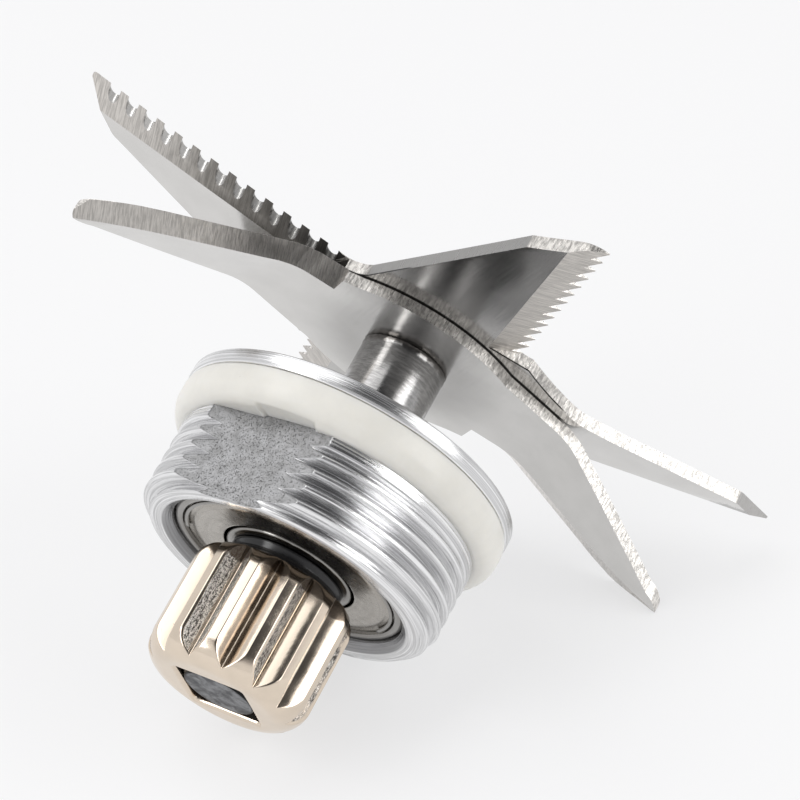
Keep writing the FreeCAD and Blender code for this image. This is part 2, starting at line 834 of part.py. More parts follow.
def upper_blade_shape():
    low = LOWER_TOP
    thickness = size("plate_thickness")
    bend = (low, size("upper_bend_start"), size("upper_bend_angle"), size("upper_bend_azimuth"))
    plate = bent_sheet(*bend).common(outline_prism(UPPER_HALF, low - 2, low + 14))
    cutters = []
    # the long wings' leading edge is ground on its underside
    cutters += both_ends(grinding_tool(UPPER_GRIND, bend))
    # and notched by a row of round-ended slots
    edge = arc(*(flat_point(*point) for point in SHARP_EDGE))
    for number in range(int(size("scallop_count"))):
        station = edge.getParameterByLength(size("scallop_pitch") * (number + 1))
        point = edge.valueAt(station)
        along = edge.tangentAt(station)
        inward = Vector(-along.y, along.x, 0)
        centre = place(point, sheet_height(point, True, *bend))
        cutters += both_ends(scallop_tool(centre, along, inward))
    # the short wings are ground and saw-toothed
    outer_end, inner_end = SAW_EDGE
    outer_top = place(outer_end, low + thickness)
    inner_top = place(inner_end, low + thickness)
    saw_inner = place((inner_end[0] - 2.9, inner_end[1]), low)
    beyond_tip = outer_top + (outer_top - inner_top) * 0.06
    cutters += both_ends(bevel_tool(beyond_tip, inner_top, saw_inner, Vector(1, 0, -1)))
    count = int(size("saw_tooth_count"))
    edge = (inner_top - outer_top) * (1.0 / count)
    inward = Vector(-edge.y, edge.x, 0).normalize() * size("saw_tooth_depth")
    for number in range(count):
        first = outer_top + edge * number
        last = first + edge
        valley = last + inward - edge * 0.12
        outside = inward * -1.5
        corners = [first + edge * 0.1, valley, last, last + outside, first + edge * 0.1 + outside]
        notch = Part.Face(Part.makePolygon(corners + corners[:1])).extrude(Vector(0, 0, -3))
        notch.translate(Vector(0, 0, 1))
        cutters += both_ends(notch)
    cutters.append(double_d_hole(low - 1, low + 3))
    return plate.cut(cutters)


def lower_blade_shape():
    low = size("blade_seat")
    bend = (low, size("lower_bend_start"), -size("lower_bend_angle"), size("lower_bend_azimuth"))
    plate = bent_sheet(*bend).common(outline_prism(LOWER_HALF, low - 14, low + 2))
    cutters = []
    cutters += both_ends(grinding_tool(LOWER_GRIND, bend))
    cutters.append(double_d_hole(low - 1, low + 3))
    return plate.cut(cutters)


add_part("lower_blade", lower_blade_shape())
add_part("upper_blade", upper_blade_shape())


# Checks and export

DOC.recompute()
for item in DOC.Objects:
    if "Invalid" in item.State or "Error" in item.State:
        raise RuntimeError("failed object: " + item.Label)
os.makedirs("parts", exist_ok=True)
for item in PARTS:
    if item.Shape.isNull() or not item.Shape.isValid():
        raise RuntimeError("bad shape: " + item.Label)
    item.Shape.exportStep("parts/%s.step" % item.Label)
    box = item.Shape.BoundBox
    print("%-28s %2d solids  volume %8.1f  z %.2f to %.2f" % (
        item.Label, len(item.Shape.Solids), item.Shape.Volume, box.ZMin, box.ZMax))
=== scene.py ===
"""Blender blade assembly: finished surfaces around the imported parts, as an add-on."""

import bmesh
import bpy
import numpy as np
from bpy.props import FloatProperty, FloatVectorProperty, IntProperty, PointerProperty
from mathutils import Matrix, Vector


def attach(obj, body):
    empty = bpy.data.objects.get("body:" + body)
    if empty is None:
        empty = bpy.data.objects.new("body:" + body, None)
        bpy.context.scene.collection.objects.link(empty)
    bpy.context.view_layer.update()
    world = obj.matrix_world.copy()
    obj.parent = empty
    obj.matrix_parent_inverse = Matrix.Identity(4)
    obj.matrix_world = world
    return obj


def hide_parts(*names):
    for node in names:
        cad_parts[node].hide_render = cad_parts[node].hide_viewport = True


bl_info = {
    "name": "Blade Assembly",
    "version": (1, 0, 0),
    "blender": (4, 5, 0),
    "location": "3D View > Sidebar > Blade Assembly",
    "description": "Threaded housing, seal, bearing, spindle and blades with finishes",
    "category": "Add Mesh",
}

MM = 0.001
TAU = 2 * np.pi

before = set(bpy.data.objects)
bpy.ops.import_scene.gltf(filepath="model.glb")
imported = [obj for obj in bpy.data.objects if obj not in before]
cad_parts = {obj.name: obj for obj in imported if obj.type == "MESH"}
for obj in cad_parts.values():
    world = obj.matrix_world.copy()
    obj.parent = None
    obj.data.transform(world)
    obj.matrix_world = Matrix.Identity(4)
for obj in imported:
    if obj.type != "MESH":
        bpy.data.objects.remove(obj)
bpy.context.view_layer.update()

# Where the part lies in the picture: the camera in the part's own frame, and the
# floor's upward direction with a point of the wing tip that touches it
CAMERA_PLACE = Vector((-39.80, -222.34, -88.25)) * MM
CAMERA_FORWARD = Vector((0.16743, 0.90425, 0.39281))
CAMERA_UP = Vector((-0.54033, -0.24910, 0.80373))
CAMERA_LENS = 126.0
FLOOR_UP = Vector((-0.5741, -0.7133, 0.4021)).normalized()
FLOOR_TOUCH = Vector((31.6, 1.5, 5.3)) * MM
FLOOR_REACH = 3.0
# The direction in which the surround is dark, behind the camera
DARK_SIDE = Vector((-0.25, -0.95, 0.20)).normalized()


# Sizes and colours that a user would change


class HousingSettings(bpy.types.PropertyGroup):
    thread_radius: FloatProperty(
        name="Thread radius", description="Crest radius of the outside thread",
        default=14.0 * MM, unit="LENGTH")
    thread_pitch: FloatProperty(
        name="Thread pitch", description="Distance between two crests",
        default=1.5 * MM, unit="LENGTH")
    thread_depth: FloatProperty(
        name="Thread depth", description="Depth of the thread's groove",
        default=0.85 * MM, unit="LENGTH")
    metal: FloatVectorProperty(
        name="Metal", description="Colour of the turned aluminium",
        default=(0.86, 0.86, 0.865), subtype="COLOR")
    silicone: FloatVectorProperty(
        name="Silicone", description="Colour of the gasket",
        default=(0.71, 0.695, 0.65), subtype="COLOR")


class SpindleSettings(bpy.types.PropertyGroup):
    coupling_radius: FloatProperty(
        name="Coupling radius", description="Outside radius of the drive coupling",
        default=7.5 * MM, unit="LENGTH")
    groove_count: IntProperty(
        name="Grooves", description="Number of grooves around the coupling",
        default=13, min=3)
    groove_depth: FloatProperty(
        name="Groove depth", description="Depth of the coupling's grooves",
        default=1.2 * MM, unit="LENGTH")
    coupling_metal: FloatVectorProperty(
        name="Coupling metal", description="Colour of the plated coupling",
        default=(0.76, 0.655, 0.54), subtype="COLOR")
    shaft_metal: FloatVectorProperty(
        name="Shaft metal", description="Colour of the ground shaft",
        default=(0.38, 0.375, 0.37), subtype="COLOR")


class BladeSettings(bpy.types.PropertyGroup):
    edge_rounding: FloatProperty(
        name="Edge rounding", description="Width of the broken edges",
        default=0.08 * MM, unit="LENGTH")


class StageSettings(bpy.types.PropertyGroup):
    floor_colour: FloatVectorProperty(
        name="Floor", description="Colour of the floor and backdrop",
        default=(0.905, 0.905, 0.91), subtype="COLOR")
    key_power: FloatProperty(
        name="Key light", description="Power of the light above in watts", default=1.6)
    strip_power: FloatProperty(
        name="Strip lights", description="Power of each strip beside the camera",
        default=0.7)


# Mesh surfaces. Profiles are in mm, finished points in metres.


def surface(name, points, attributes=None, wrap_around=True, wrap_along=True):
    """Joins a grid of points, rows along the profile and columns around, into quads.

    The attributes hold one number per point for the material. Points that coincide are
    merged afterwards, and all faces are turned outwards.
    """
    rows, columns = points.shape[:2]
    across = columns if wrap_around else columns - 1
    along = rows if wrap_along else rows - 1
    row, column = np.meshgrid(np.arange(along), np.arange(across), indexing="ij")
    next_row = (row + 1) % rows
    next_column = (column + 1) % columns
    quads = np.stack([
        row * columns + column, row * columns + next_column,
        next_row * columns + next_column, next_row * columns + column,
    ], axis=-1).reshape(-1, 4)
    mesh = bpy.data.meshes.new(name)
    mesh.vertices.add(rows * columns)
    mesh.vertices.foreach_set("co", points.reshape(-1).astype(np.float32))
    mesh.loops.add(quads.size)
    mesh.loops.foreach_set("vertex_index", quads.reshape(-1).astype(np.int32))
    mesh.polygons.add(len(quads))
    mesh.polygons.foreach_set("loop_start", np.arange(0, quads.size, 4, dtype=np.int32))
    mesh.polygons.foreach_set("use_smooth", np.ones(len(quads), dtype=bool))
    mesh.update(calc_edges=True)
    mesh.validate()
    for label, values in (attributes or {}).items():
        set_attribute(mesh, label, "POINT", values)
    merge_points(mesh, 1e-7, True)
    obj = bpy.data.objects.new(name, mesh)
    bpy.context.scene.collection.objects.link(obj)
    return obj


def set_attribute(mesh, name, domain, values):
    """Stores one number per point or face corner of a mesh, for its material to read."""
    attribute = mesh.attributes.new(name, "FLOAT", domain)
    attribute.data.foreach_set("value", np.asarray(values, np.float32).reshape(-1))


def merge_points(mesh, distance, outwards=False):
    """Merges points that coincide and, where asked, points all faces outwards."""
    work = bmesh.new()
    work.from_mesh(mesh)
    bmesh.ops.remove_doubles(work, verts=work.verts, dist=distance)
    if outwards:
        bmesh.ops.recalc_face_normals(work, faces=work.faces)
    work.to_mesh(mesh)
    work.free()


def divide(start, end, spacing, length):
    """Points from start to end, as many as steps of the spacing fill the length."""
    steps = max(2, int(np.ceil(length / spacing)) + 1)
    return start + (end - start) * np.linspace(0, 1, steps)[:, None]


def resample(corners, spacing, rounding):
    """A profile's (radius, height) corners as evenly spaced points along its runs.

    Each corner is replaced by two points, the rounding away from it on either side, and
    every run between them is divided into steps of about the spacing.
    """
    corners = np.asarray(corners, float)
    following = np.roll(corners, -1, axis=0)
    run = following - corners
    length = np.linalg.norm(run, axis=1, keepdims=True)
    cut = np.minimum(rounding, 0.35 * length) * run / length
    return np.concatenate([
        divide(start, end, spacing, np.linalg.norm(end - start))
        for start, end in zip(corners + cut, following - cut)])


def smooth_closed(points, steps):
    """A closed line of quadratic B-spline arcs through the middles of the sides."""
    points = np.asarray(points, float)
    start = (np.roll(points, 1, axis=0) + points) / 2
    end = (points + np.roll(points, -1, axis=0)) / 2
    share = np.linspace(0, 1, steps, endpoint=False)[:, None, None]
    line = (1 - share) ** 2 * start + 2 * share * (1 - share) * points + share ** 2 * end
    return line.transpose(1, 0, 2).reshape(-1, 2)


def turn(profile, columns):
    """Radius, height and angle of each point of a profile carried around Z."""
    angle = np.linspace(0, TAU, columns, endpoint=False)
    return np.broadcast_arrays(profile[:, :1], profile[:, 1:2], angle[None, :])


def to_points(radius, height, angle):
    x = radius * np.cos(angle)
    y = radius * np.sin(angle)
    return np.stack([x, y, height], axis=-1) * MM


def turned(name, profile, columns):
    """A turned piece from the closed line of its section."""
    return surface(name, to_points(*turn(profile, columns)))


def open_ring(name, profile, span, columns=160):
    """A section carried part of the way around Z, both of its ends drawn to a point."""
    angle = np.linspace(*span, columns)
    angle = np.concatenate([angle[:1], angle, angle[-1:]])
    middle = profile.mean(axis=0)
    share = np.ones(len(angle))
    share[[0, -1]] = 0
    radius = middle[0] + (profile[:, :1] - middle[0]) * share
    height = middle[1] + (profile[:, 1:2] - middle[1]) * share
    points = to_points(radius, height, np.broadcast_to(angle, radius.shape))
    return surface(name, points, wrap_around=False)


def smooth_step(value):
    value = np.clip(value, 0, 1)
    return value * value * (3 - 2 * value)


def ripple(angle, seed, waves=5, low=2, high=24):
    """A seeded, closed irregular wave around the axis, between about -1 and 1."""
    random = np.random.default_rng(seed)
    counts = random.integers(low, high, waves)
    shifts = random.uniform(0, TAU, waves)
    total = sum(np.sin(count * angle + shift) for count, shift in zip(counts, shifts))
    return total / waves


# Shader helpers


class Value:
    """An output in a node tree. The signs + - * between two add the math node."""

    def __init__(self, nodes, socket):
        self.nodes = nodes
        self.socket = socket

    def __add__(self, other):
        return self.nodes.math("ADD", self, other)

    def __sub__(self, other):
        return self.nodes.math("SUBTRACT", self, other)

    def __rsub__(self, other):
        return self.nodes.math("SUBTRACT", other, self)

    def __mul__(self, other):
        return self.nodes.math("MULTIPLY", self, other)

    __radd__ = __add__
    __rmul__ = __mul__


class Nodes:
    """Short calls for building one node tree."""

    def __init__(self, tree):
        self.tree = tree

    def add(self, kind, **values):
        node = self.tree.nodes.new(kind)
        for key, value in values.items():
            setattr(node, key, value)
        return node

    def put(self, socket, value):
        """Links a value to the socket, or sets a plain number or colour."""
        if isinstance(value, Value):
            self.tree.links.new(value.socket, socket)
        else:
            socket.default_value = value

    def fill(self, kind, output, given, **values):
        """Adds a node, fills its inputs in order and returns one of its outputs."""
        node = self.add(kind, **values)
        for index, value in given:
            self.put(node.inputs[index], value)
        return Value(self, node.outputs[output])

    def math(self, operation, *given):
        return self.fill("ShaderNodeMath", 0, enumerate(given), operation=operation)

    def map_range(self, value, low, high, to_low=0.0, to_high=1.0):
        given = enumerate((value, low, high, to_low, to_high))
        return self.fill("ShaderNodeMapRange", 0, given, interpolation_type="SMOOTHSTEP")

    def combine(self, x, y, z):
        return self.fill("ShaderNodeCombineXYZ", 0, enumerate((x, y, z)))

    def noise(self, vector, scale, detail, roughness):
        return self.fill("ShaderNodeTexNoise", 0, (
            ("Vector", vector), ("Scale", scale), ("Detail", detail),
            ("Roughness", roughness)))

    def mix(self, factor, a, b):
        given = ((0, factor), (6, a), (7, b))
        return self.fill("ShaderNodeMix", 2, given, data_type="RGBA")

    def scale(self, vector, factor):
        given = ((0, vector), ("Scale", factor))
        return self.fill("ShaderNodeVectorMath", 0, given, operation="SCALE")

    def bump(self, height, strength, distance, normal=None):
        given = [("Strength", strength), ("Distance", distance), ("Height", height)]
        if normal:
            given.append(("Normal", normal))
        return self.fill("ShaderNodeBump", 0, given)

    def attribute(self, name):
        return self.fill("ShaderNodeAttribute", "Fac", (), attribute_name=name)

    def place(self):
        """The surface point's x, y and z in millimetres."""
        spot = self.fill("ShaderNodeTexCoord", "Object", ())
        split = self.add("ShaderNodeSeparateXYZ")
        self.put(split.inputs[0], spot)
        return [self.math("DIVIDE", Value(self, axis), MM) for axis in split.outputs]

    def distance(self, x, y):
        return self.math("SQRT", x * x + y * y)

    def group(self, maker, **values):
        """Places a shared group and returns its outputs by name."""
        if maker not in GROUPS:
            GROUPS[maker] = maker()
        node = self.add("ShaderNodeGroup", node_tree=GROUPS[maker])
        for label, value in values.items():
            self.put(node.inputs[label.replace("_", " ")], value)
        return {socket.name: Value(self, socket) for socket in node.outputs}


class MaterialNodes(Nodes):
    """The nodes of a new material around its Principled shader."""

    def __init__(self, name):
        self.material = bpy.data.materials.new(name)
        self.material.use_nodes = True
        super().__init__(self.material.node_tree)
        self.tree.nodes.clear()
        self.shader = self.add("ShaderNodeBsdfPrincipled")
        self.output = self.add("ShaderNodeOutputMaterial")
        self.tree.links.new(self.shader.outputs[0], self.output.inputs[0])

    def paint(self, **inputs):
        """Fills inputs of the shader, named with underscores, and gives the material."""
        for label, value in inputs.items():
            self.put(self.shader.inputs[label.replace("_", " ")], value)
        return self.material


GROUPS = {}


def start_group(name, inputs, outputs):
    """A shader node group with float inputs (name, default) and float outputs."""
    group = bpy.data.node_groups.new(name, "ShaderNodeTree")
    interface = group.interface
    for label, default in inputs:
        interface.new_socket(
            label, in_out="INPUT", socket_type="NodeSocketFloat").default_value = default
    for label in outputs:
        interface.new_socket(label, in_out="OUTPUT", socket_type="NodeSocketFloat")
    nodes = Nodes(group)
    given = nodes.add("NodeGroupInput").outputs
    out = nodes.add("NodeGroupOutput").inputs
    return group, nodes, [Value(nodes, given[label]) for label, default in inputs], out


def turning_marks():
    """Fine rings left by a lathe: noise over radius and height, slowly varied around."""
    group, nodes, (fineness, break_up), out = start_group(
        "Turning marks", [("Fineness", 6.0), ("Break up", 0.3)], ["Rings", "Chatter"])
    x, y, z = nodes.place()
    around = nodes.math("SINE", nodes.math("ARCTAN2", y, x)) * break_up
    vector = nodes.combine(nodes.distance(x, y) * fineness, z * fineness, around)
    nodes.put(out["Rings"], nodes.noise(vector, 1.0, 3.0, 0.75))
    short = nodes.combine(x * 0.9, y * 0.9, z * 5.0)
    nodes.put(out["Chatter"], nodes.noise(short, 1.0, 5.0, 0.65))
    return group


def brushed_grain():
    """Straight lines over a sheet, at an angle to Y: noise stretched along the lines."""
    group, nodes, (along, across, cosine, sine), out = start_group(
        "Brushed grain", [("Along", 0.25), ("Across", 14.0), ("Cosine", 1.0),
                          ("Sine", 0.0)], ["Grain", "Cloud"])
    x, y, z = nodes.place()
    sideways = x * cosine - y * sine
    lengthways = x * sine + y * cosine
    vector = nodes.combine(sideways * across, lengthways * along, z * along)
    nodes.put(out["Grain"], nodes.noise(vector, 1.0, 4.0, 0.65))
    nodes.put(out["Cloud"], nodes.noise(nodes.combine(x, y, z), 0.35, 3.0, 0.5))
    return group


def small_pits():
    """Small pits and specks scattered over a surface: thresholded fine noise."""
    group, nodes, (scale, amount), out = start_group(
        "Pits", [("Scale", 3.0), ("Amount", 0.62)], ["Pits", "Mottle"])
    vector = nodes.combine(*(axis * scale for axis in nodes.place()))
    fine = nodes.noise(vector, 1.0, 6.0, 0.65)
    nodes.put(out["Pits"], nodes.map_range(fine, amount, amount + 0.08))
    nodes.put(out["Mottle"], nodes.noise(vector, 0.22, 5.0, 0.6))
    return group


def colour(value, factor=1.0):
    return tuple(channel * factor for channel in value) + (1.0,)


def grey(value):
    return (value, value, value, 1.0)


# Materials


def housing_material(settings):
    """Turned aluminium, with the two milled flats grey, cast and pitted."""
    nodes = MaterialNodes("turned_aluminium")
    x, y, z = nodes.place()
    groove = nodes.attribute("groove")
    rings = nodes.group(turning_marks, Fineness=3.4, Break_up=0.5)["Rings"]
    hair = nodes.group(turning_marks, Fineness=7.5, Break_up=0.9)["Rings"]
    pits = nodes.group(small_pits, Scale=4.0, Amount=0.58)
    fine = nodes.group(small_pits, Scale=8.0, Amount=0.55)["Pits"]
    ticks = nodes.group(small_pits, Scale=1.6, Amount=0.70)["Pits"]
    # The flats are where the distance along their normal is the flats' own
    across = nodes.math("ABSOLUTE", x * float(np.cos(FLAT_AZIMUTH))
                        + y * float(np.sin(FLAT_AZIMUTH)))
    flat = nodes.map_range(across, FLAT_DISTANCE + 0.03, FLAT_DISTANCE + 0.01)
    flat = flat * nodes.map_range(across, FLAT_DISTANCE - 0.06, FLAT_DISTANCE - 0.02)
    flat = flat * nodes.map_range(z, -0.5, -0.6)
    cast = nodes.mix(nodes.map_range(pits["Mottle"], 0.30, 0.70), grey(0.23),
                     colour((0.37, 0.37, 0.375)))
    cast = nodes.mix(fine * 0.8, cast, grey(0.09))
    cast = nodes.mix(pits["Pits"] * 0.55, cast, grey(0.09))
    bright = nodes.mix(nodes.map_range(rings, 0.42, 0.58),
                       colour(settings.metal, 0.72), colour(settings.metal))
    bright = nodes.mix(nodes.map_range(hair, 0.46, 0.40, 0.0, 0.4), bright,
                       colour((0.28, 0.28, 0.29)))
    # Painted shade: the thread's valleys are darkened by their depth
    bright = nodes.mix(groove * 0.34, bright, colour((0.30, 0.30, 0.31)))
    # Painted shade: the bore inside the mouth is darkened
    bore_shade = nodes.map_range(nodes.distance(x, y), MOUTH_RADIUS + 0.05, MOUTH_RADIUS - 0.1)
    bright = nodes.mix(bore_shade * 0.75, bright, colour((0.12, 0.12, 0.125)))
    bright = nodes.mix(ticks * 0.6, bright, grey(0.20))
    roughness = nodes.map_range(pits["Mottle"], 0.3, 0.7, 0.42, 0.56) * flat + (
        nodes.map_range(hair, 0.3, 0.7, 0.13, 0.24) * (1.0 - flat))
    normal = nodes.bump((rings + hair * 0.35) * (1.0 - flat), 0.8, 0.075 * MM)
    cast_height = (pits["Mottle"] - fine * 0.5) * flat
    return nodes.paint(
        Base_Color=nodes.mix(flat, bright, cast), Metallic=1.0, Roughness=roughness,
        Normal=nodes.bump(cast_height, 0.6, 0.12 * MM, normal))


def gasket_material(settings):
    """Off-white silicone: soft sheen, light shining in, a few specks."""
    nodes = MaterialNodes("silicone")
    pits = nodes.group(small_pits, Scale=1.9, Amount=0.70)
    tint = nodes.mix(nodes.map_range(pits["Mottle"], 0.3, 0.7),
                     colour(settings.silicone), colour(settings.silicone, 0.95))
    return nodes.paint(
        Base_Color=nodes.mix(pits["Pits"] * 0.75, tint, colour((0.26, 0.22, 0.18))),
        Roughness=0.34, Subsurface_Weight=0.6, Subsurface_Radius=(1.0, 0.95, 0.85),
        Subsurface_Scale=1.4 * MM, Normal=nodes.bump(pits["Mottle"], 0.2, 0.1 * MM))


def steel_material(name, tint, roughness, fineness=6.0, bump=0.25):
    """Turned or ground steel with faint rings."""
    nodes = MaterialNodes(name)
    marks = nodes.group(turning_marks, Fineness=fineness, Break_up=0.5)
    return nodes.paint(
        Base_Color=nodes.mix(nodes.map_range(marks["Rings"], 0.3, 0.7),
                             colour(tint, 0.85), colour(tint)),
        Metallic=1.0,
        Roughness=nodes.map_range(
            marks["Chatter"], 0.3, 0.7, roughness * 0.75, roughness * 1.3),
        Normal=nodes.bump(marks["Rings"], bump, 0.02 * MM))


def rubber_material(name, tint, roughness):
    """Black moulded rubber with a fine bloom."""
    nodes = MaterialNodes(name)
    mottle = nodes.group(small_pits, Scale=3.0, Amount=0.6)["Mottle"]
    return nodes.paint(
        Base_Color=nodes.mix(nodes.map_range(mottle, 0.3, 0.7),
                             colour(tint), colour(tint, 1.8)),
        Roughness=nodes.map_range(mottle, 0.3, 0.7, roughness, roughness + 0.12),
        Normal=nodes.bump(mottle, 0.15, 0.05 * MM))


def shaft_material(settings):
    """Ground steel: heat-stained joint with painted shade at the blades, smeared grey
    end.
    """
    nodes = MaterialNodes("ground_shaft")
    x, y, z = nodes.place()
    marks = nodes.group(turning_marks, Fineness=12.0, Break_up=1.2)
    cloud = nodes.group(small_pits, Scale=1.6, Amount=0.56)["Mottle"]
    smear = nodes.group(small_pits, Scale=4.0, Amount=0.55)
    # The heat-stained joint at the blades with its painted shade, the flat end face and
    # the painted shadow in the gap around it
    joint = nodes.map_range(z + cloud * 0.9, BLADE_SEAT - 0.4, BLADE_SEAT + 0.2)
    end = nodes.map_range(z, SHAFT_END + 0.15, SHAFT_END + 0.06)
    gap = nodes.map_range(nodes.distance(x, y), 3.05, 3.2) * (
        nodes.map_range(z, SHAFT_END + 1.05, SHAFT_END + 0.75))
    metal = nodes.mix(nodes.map_range(marks["Chatter"], 0.38, 0.62),
                      colour(settings.shaft_metal, 0.72), colour(settings.shaft_metal))
    # Heat stain and painted shade at the joint
    metal = nodes.mix(joint * 0.75, metal, colour((0.10, 0.09, 0.08)))
    smeared = nodes.mix(nodes.map_range(smear["Mottle"], 0.38, 0.62),
                        colour((0.07, 0.072, 0.078)), colour((0.24, 0.245, 0.255)))
    smeared = nodes.mix(smear["Pits"] * 0.6, smeared, colour((0.04, 0.04, 0.045)))
    metal = nodes.mix(end, metal, smeared)
    height = marks["Rings"] * 0.25 + cloud * joint * 3.0 + smear["Mottle"] * end * 2.5
    return nodes.paint(
        Base_Color=nodes.mix(gap, metal, grey(0.02)), Metallic=1.0,
        Roughness=nodes.map_range(marks["Chatter"], 0.3, 0.7, 0.13, 0.19) + end * 0.32,
        Normal=nodes.bump(height, 0.4, 0.06 * MM))


def coupling_material(settings):
    """Warm nickel plating, its groove walls scratched or tarnished."""
    nodes = MaterialNodes("plated_coupling")
    x, y, z = nodes.place()
    pits = nodes.group(small_pits, Scale=9.0, Amount=0.50)
    specks = nodes.group(small_pits, Scale=2.3, Amount=0.70)["Pits"]
    cloud = nodes.group(small_pits, Scale=1.7, Amount=0.56)["Mottle"]
    rough = nodes.map_range(nodes.attribute("rough_wall") + cloud * 0.9, 0.85, 1.1)
    scratches = nodes.noise(nodes.combine(x * 8.0, y * 8.0, z * 2.6), 1.0, 5.0, 0.75)
    cut = nodes.map_range(scratches, 0.47, 0.60)
    # Painted dark reflection on the shoulder below the bearing
    painted_reflection = nodes.map_range(nodes.attribute("shoulder_reflection") + cloud * 1.5, 1.15, 1.32)
    metal = nodes.mix(nodes.map_range(cloud, 0.3, 0.7),
                      colour(settings.coupling_metal, 0.92),
                      colour(settings.coupling_metal))
    for amount, tint in (
            (nodes.attribute("tarnish") * 0.85, (0.33, 0.25, 0.18)),
            (rough * 0.75, (0.95, 0.92, 0.88)),
            (cut * rough, (0.05, 0.045, 0.04)),
            (pits["Pits"] * 0.92 * rough, (0.07, 0.06, 0.05)),
            (painted_reflection * 0.88, (0.13, 0.10, 0.075)),
            (specks * 0.7, (0.08, 0.06, 0.05))):
        metal = nodes.mix(amount, metal, colour(tint))
    height = cloud * 0.5 + pits["Mottle"] * rough * 4.5 - (pits["Pits"] + cut) * rough
    return nodes.paint(
        Base_Color=metal, Metallic=1.0,
        Roughness=nodes.map_range(cloud, 0.3, 0.7, 0.12, 0.20) + rough * 0.18,
        Normal=nodes.bump(height, 0.6, 0.08 * MM))


def blade_material():
    """Stainless sheet: satin faces, bevels with lines across, torn punched rims."""
    nodes = MaterialNodes("blade_steel")
    bevel, rim, short_wing, tone_and_shade, torn, top = (nodes.attribute(label) for label in (
        "ground", "punched", "short_wing", "tone_and_shade", "torn", "top"))
    x, y, z = nodes.place()
    brushed = nodes.group(brushed_grain, Along=0.2, Across=6.0)
    grain = brushed["Grain"]
    long_lines, short_lines = (
        nodes.group(brushed_grain, Along=0.5, Across=8.0, Cosine=cosine, Sine=sine)
        for cosine, sine in ((0.94, 0.34), (0.1, 0.99)))
    lines = short_lines["Grain"] * short_wing + long_lines["Grain"] * (1.0 - short_wing)
    cloud = nodes.group(small_pits, Scale=5.0, Amount=0.5)["Mottle"]
    streaks = nodes.noise(nodes.combine(x * 4.5, y * 4.5, z * 1.6), 1.0, 5.0, 0.7)
    steel = nodes.mix(nodes.map_range(brushed["Cloud"], 0.3, 0.7),
                      colour((0.95, 0.935, 0.91)), colour((1.0, 0.985, 0.96)))
    steel = nodes.mix(bevel, steel, colour((1.0, 0.955, 0.90)))
    steel = nodes.mix(torn, steel, colour((1.0, 0.965, 0.915)))
    # Brightness: each finish varies it around 1
    line_tone = nodes.map_range(lines, 0.35, 0.65, 0.72, 1.12)
    streak_tone = nodes.map_range(streaks, 0.38, 0.62, 0.58, 1.18)
    brushed_tone = nodes.map_range(grain, 0.35, 0.65, -0.12, 0.08)
    variation = 1.0 + bevel * (line_tone - 1.0) + brushed_tone * top + (
        torn * (streak_tone - 1.0))
    # Painted shade: the dark line where the two plates meet. Painted dark reflection of
    # the shaft: the darker sheet around the hub
    radius = nodes.distance(x, y)
    seam_shade = nodes.map_range(nodes.math("ABSOLUTE", z - SEAM_HEIGHT), 0.17, 0.10) * rim
    seam_shade = seam_shade * nodes.map_range(radius, 15.5, 14.5)
    # Painted dark reflection of the shaft: the broad faces darken towards the hub
    hub = nodes.map_range(radius, 5.0, 11.0, 0.66, 1.0)
    hub = nodes.math("MAXIMUM", hub, nodes.math("MAXIMUM", rim, bevel))
    brightness = variation * hub * tone_and_shade * (1.0 - seam_shade * 0.97)
    roughness = nodes.map_range(grain, 0.3, 0.7, 0.14, 0.20) + (
        bevel * 0.14 + top * 0.16 + rim * 0.12)
    height = grain * (0.08 + top * 0.7) + lines * bevel * 0.9 + (
        streaks * 2.0 + cloud * 1.6) * torn
    return nodes.paint(
        Base_Color=nodes.scale(steel, brightness), Metallic=1.0, Roughness=roughness,
        Normal=nodes.bump(height, 0.5, 0.05 * MM))


def dress(obj, material, body, node):
    """Gives a new piece its material, body and slot, and hides the node that it stands
    for.
    """
    obj.data.materials.clear()
    obj.data.materials.append(material)
    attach(obj, body)
    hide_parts(node)


def dress_node(node, material):
    """Gives a CAD node, kept as it is, a finished material."""
    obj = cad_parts[node]
    if not obj.material_slots:
        obj.data.materials.append(material)
    for slot in obj.material_slots:
        slot.material = material


# Housing

FLANGE_RADIUS = 15.6
FLANGE_TOP = 1.37
HOUSING_DEPTH = 11.5
COLLAR_RADIUS = 13.55
FOOT_RADIUS = 12.8
BEARING_RADIUS = 11.0
MOUTH_RADIUS = BEARING_RADIUS + 0.7
SEAL_RADIUS = 8.0
SEAL_FLOOR = -3.0
BEARING_ROOF = -3.6
WALL_MIDDLE = BEARING_RADIUS + 0.9
FLAT_DISTANCE = 12.6
FLAT_AZIMUTH = np.radians(225.3)
FLAT_TOP = -2.2
GASKET_LOW = -3.3
# The thread: where it starts, beyond which radius it is cut, half of its groove's share
# of a turn's height, how much of the V is rounded, and over how many turns it fades in
THREAD_START = -4.2
THREADED_RADIUS = 13.0
GROOVE_SHARE = 0.42
GROOVE_ROUNDNESS = 0.45
FADE_TURNS = 0.6
RUN_OUT_DEPTH = 0.035
RUN_OUT_PITCH = 0.3
HOUSING_COLUMNS = 440
# Point spacing along the chamfer, the thread and the collar, by run, and elsewhere
RUN_SPACINGS = {1: 0.1, 2: 0.06, 4: 0.5}
OTHER_SPACING = 0.6


def flat_limit(angle):
    """The radius at which the nearer of the two flats lies, in each direction."""
    facing = np.abs(np.cos(angle - FLAT_AZIMUTH))
    return FLAT_DISTANCE / np.maximum(facing, 0.05)


def thread_cut(height, angle, settings):
    """How far the thread goes in: a rounded V along a helix, fading at its top."""
    pitch = settings.thread_pitch / MM
    turns = (height - THREAD_START) / pitch - angle / TAU
    groove = np.clip(1 - np.abs(turns - np.round(turns)) / GROOVE_SHARE, 0, 1)
    groove = groove + (smooth_step(groove) - groove) * GROOVE_ROUNDNESS
    fade = smooth_step((THREAD_START - height) / (FADE_TURNS * pitch))
    return settings.thread_depth / MM * groove * fade


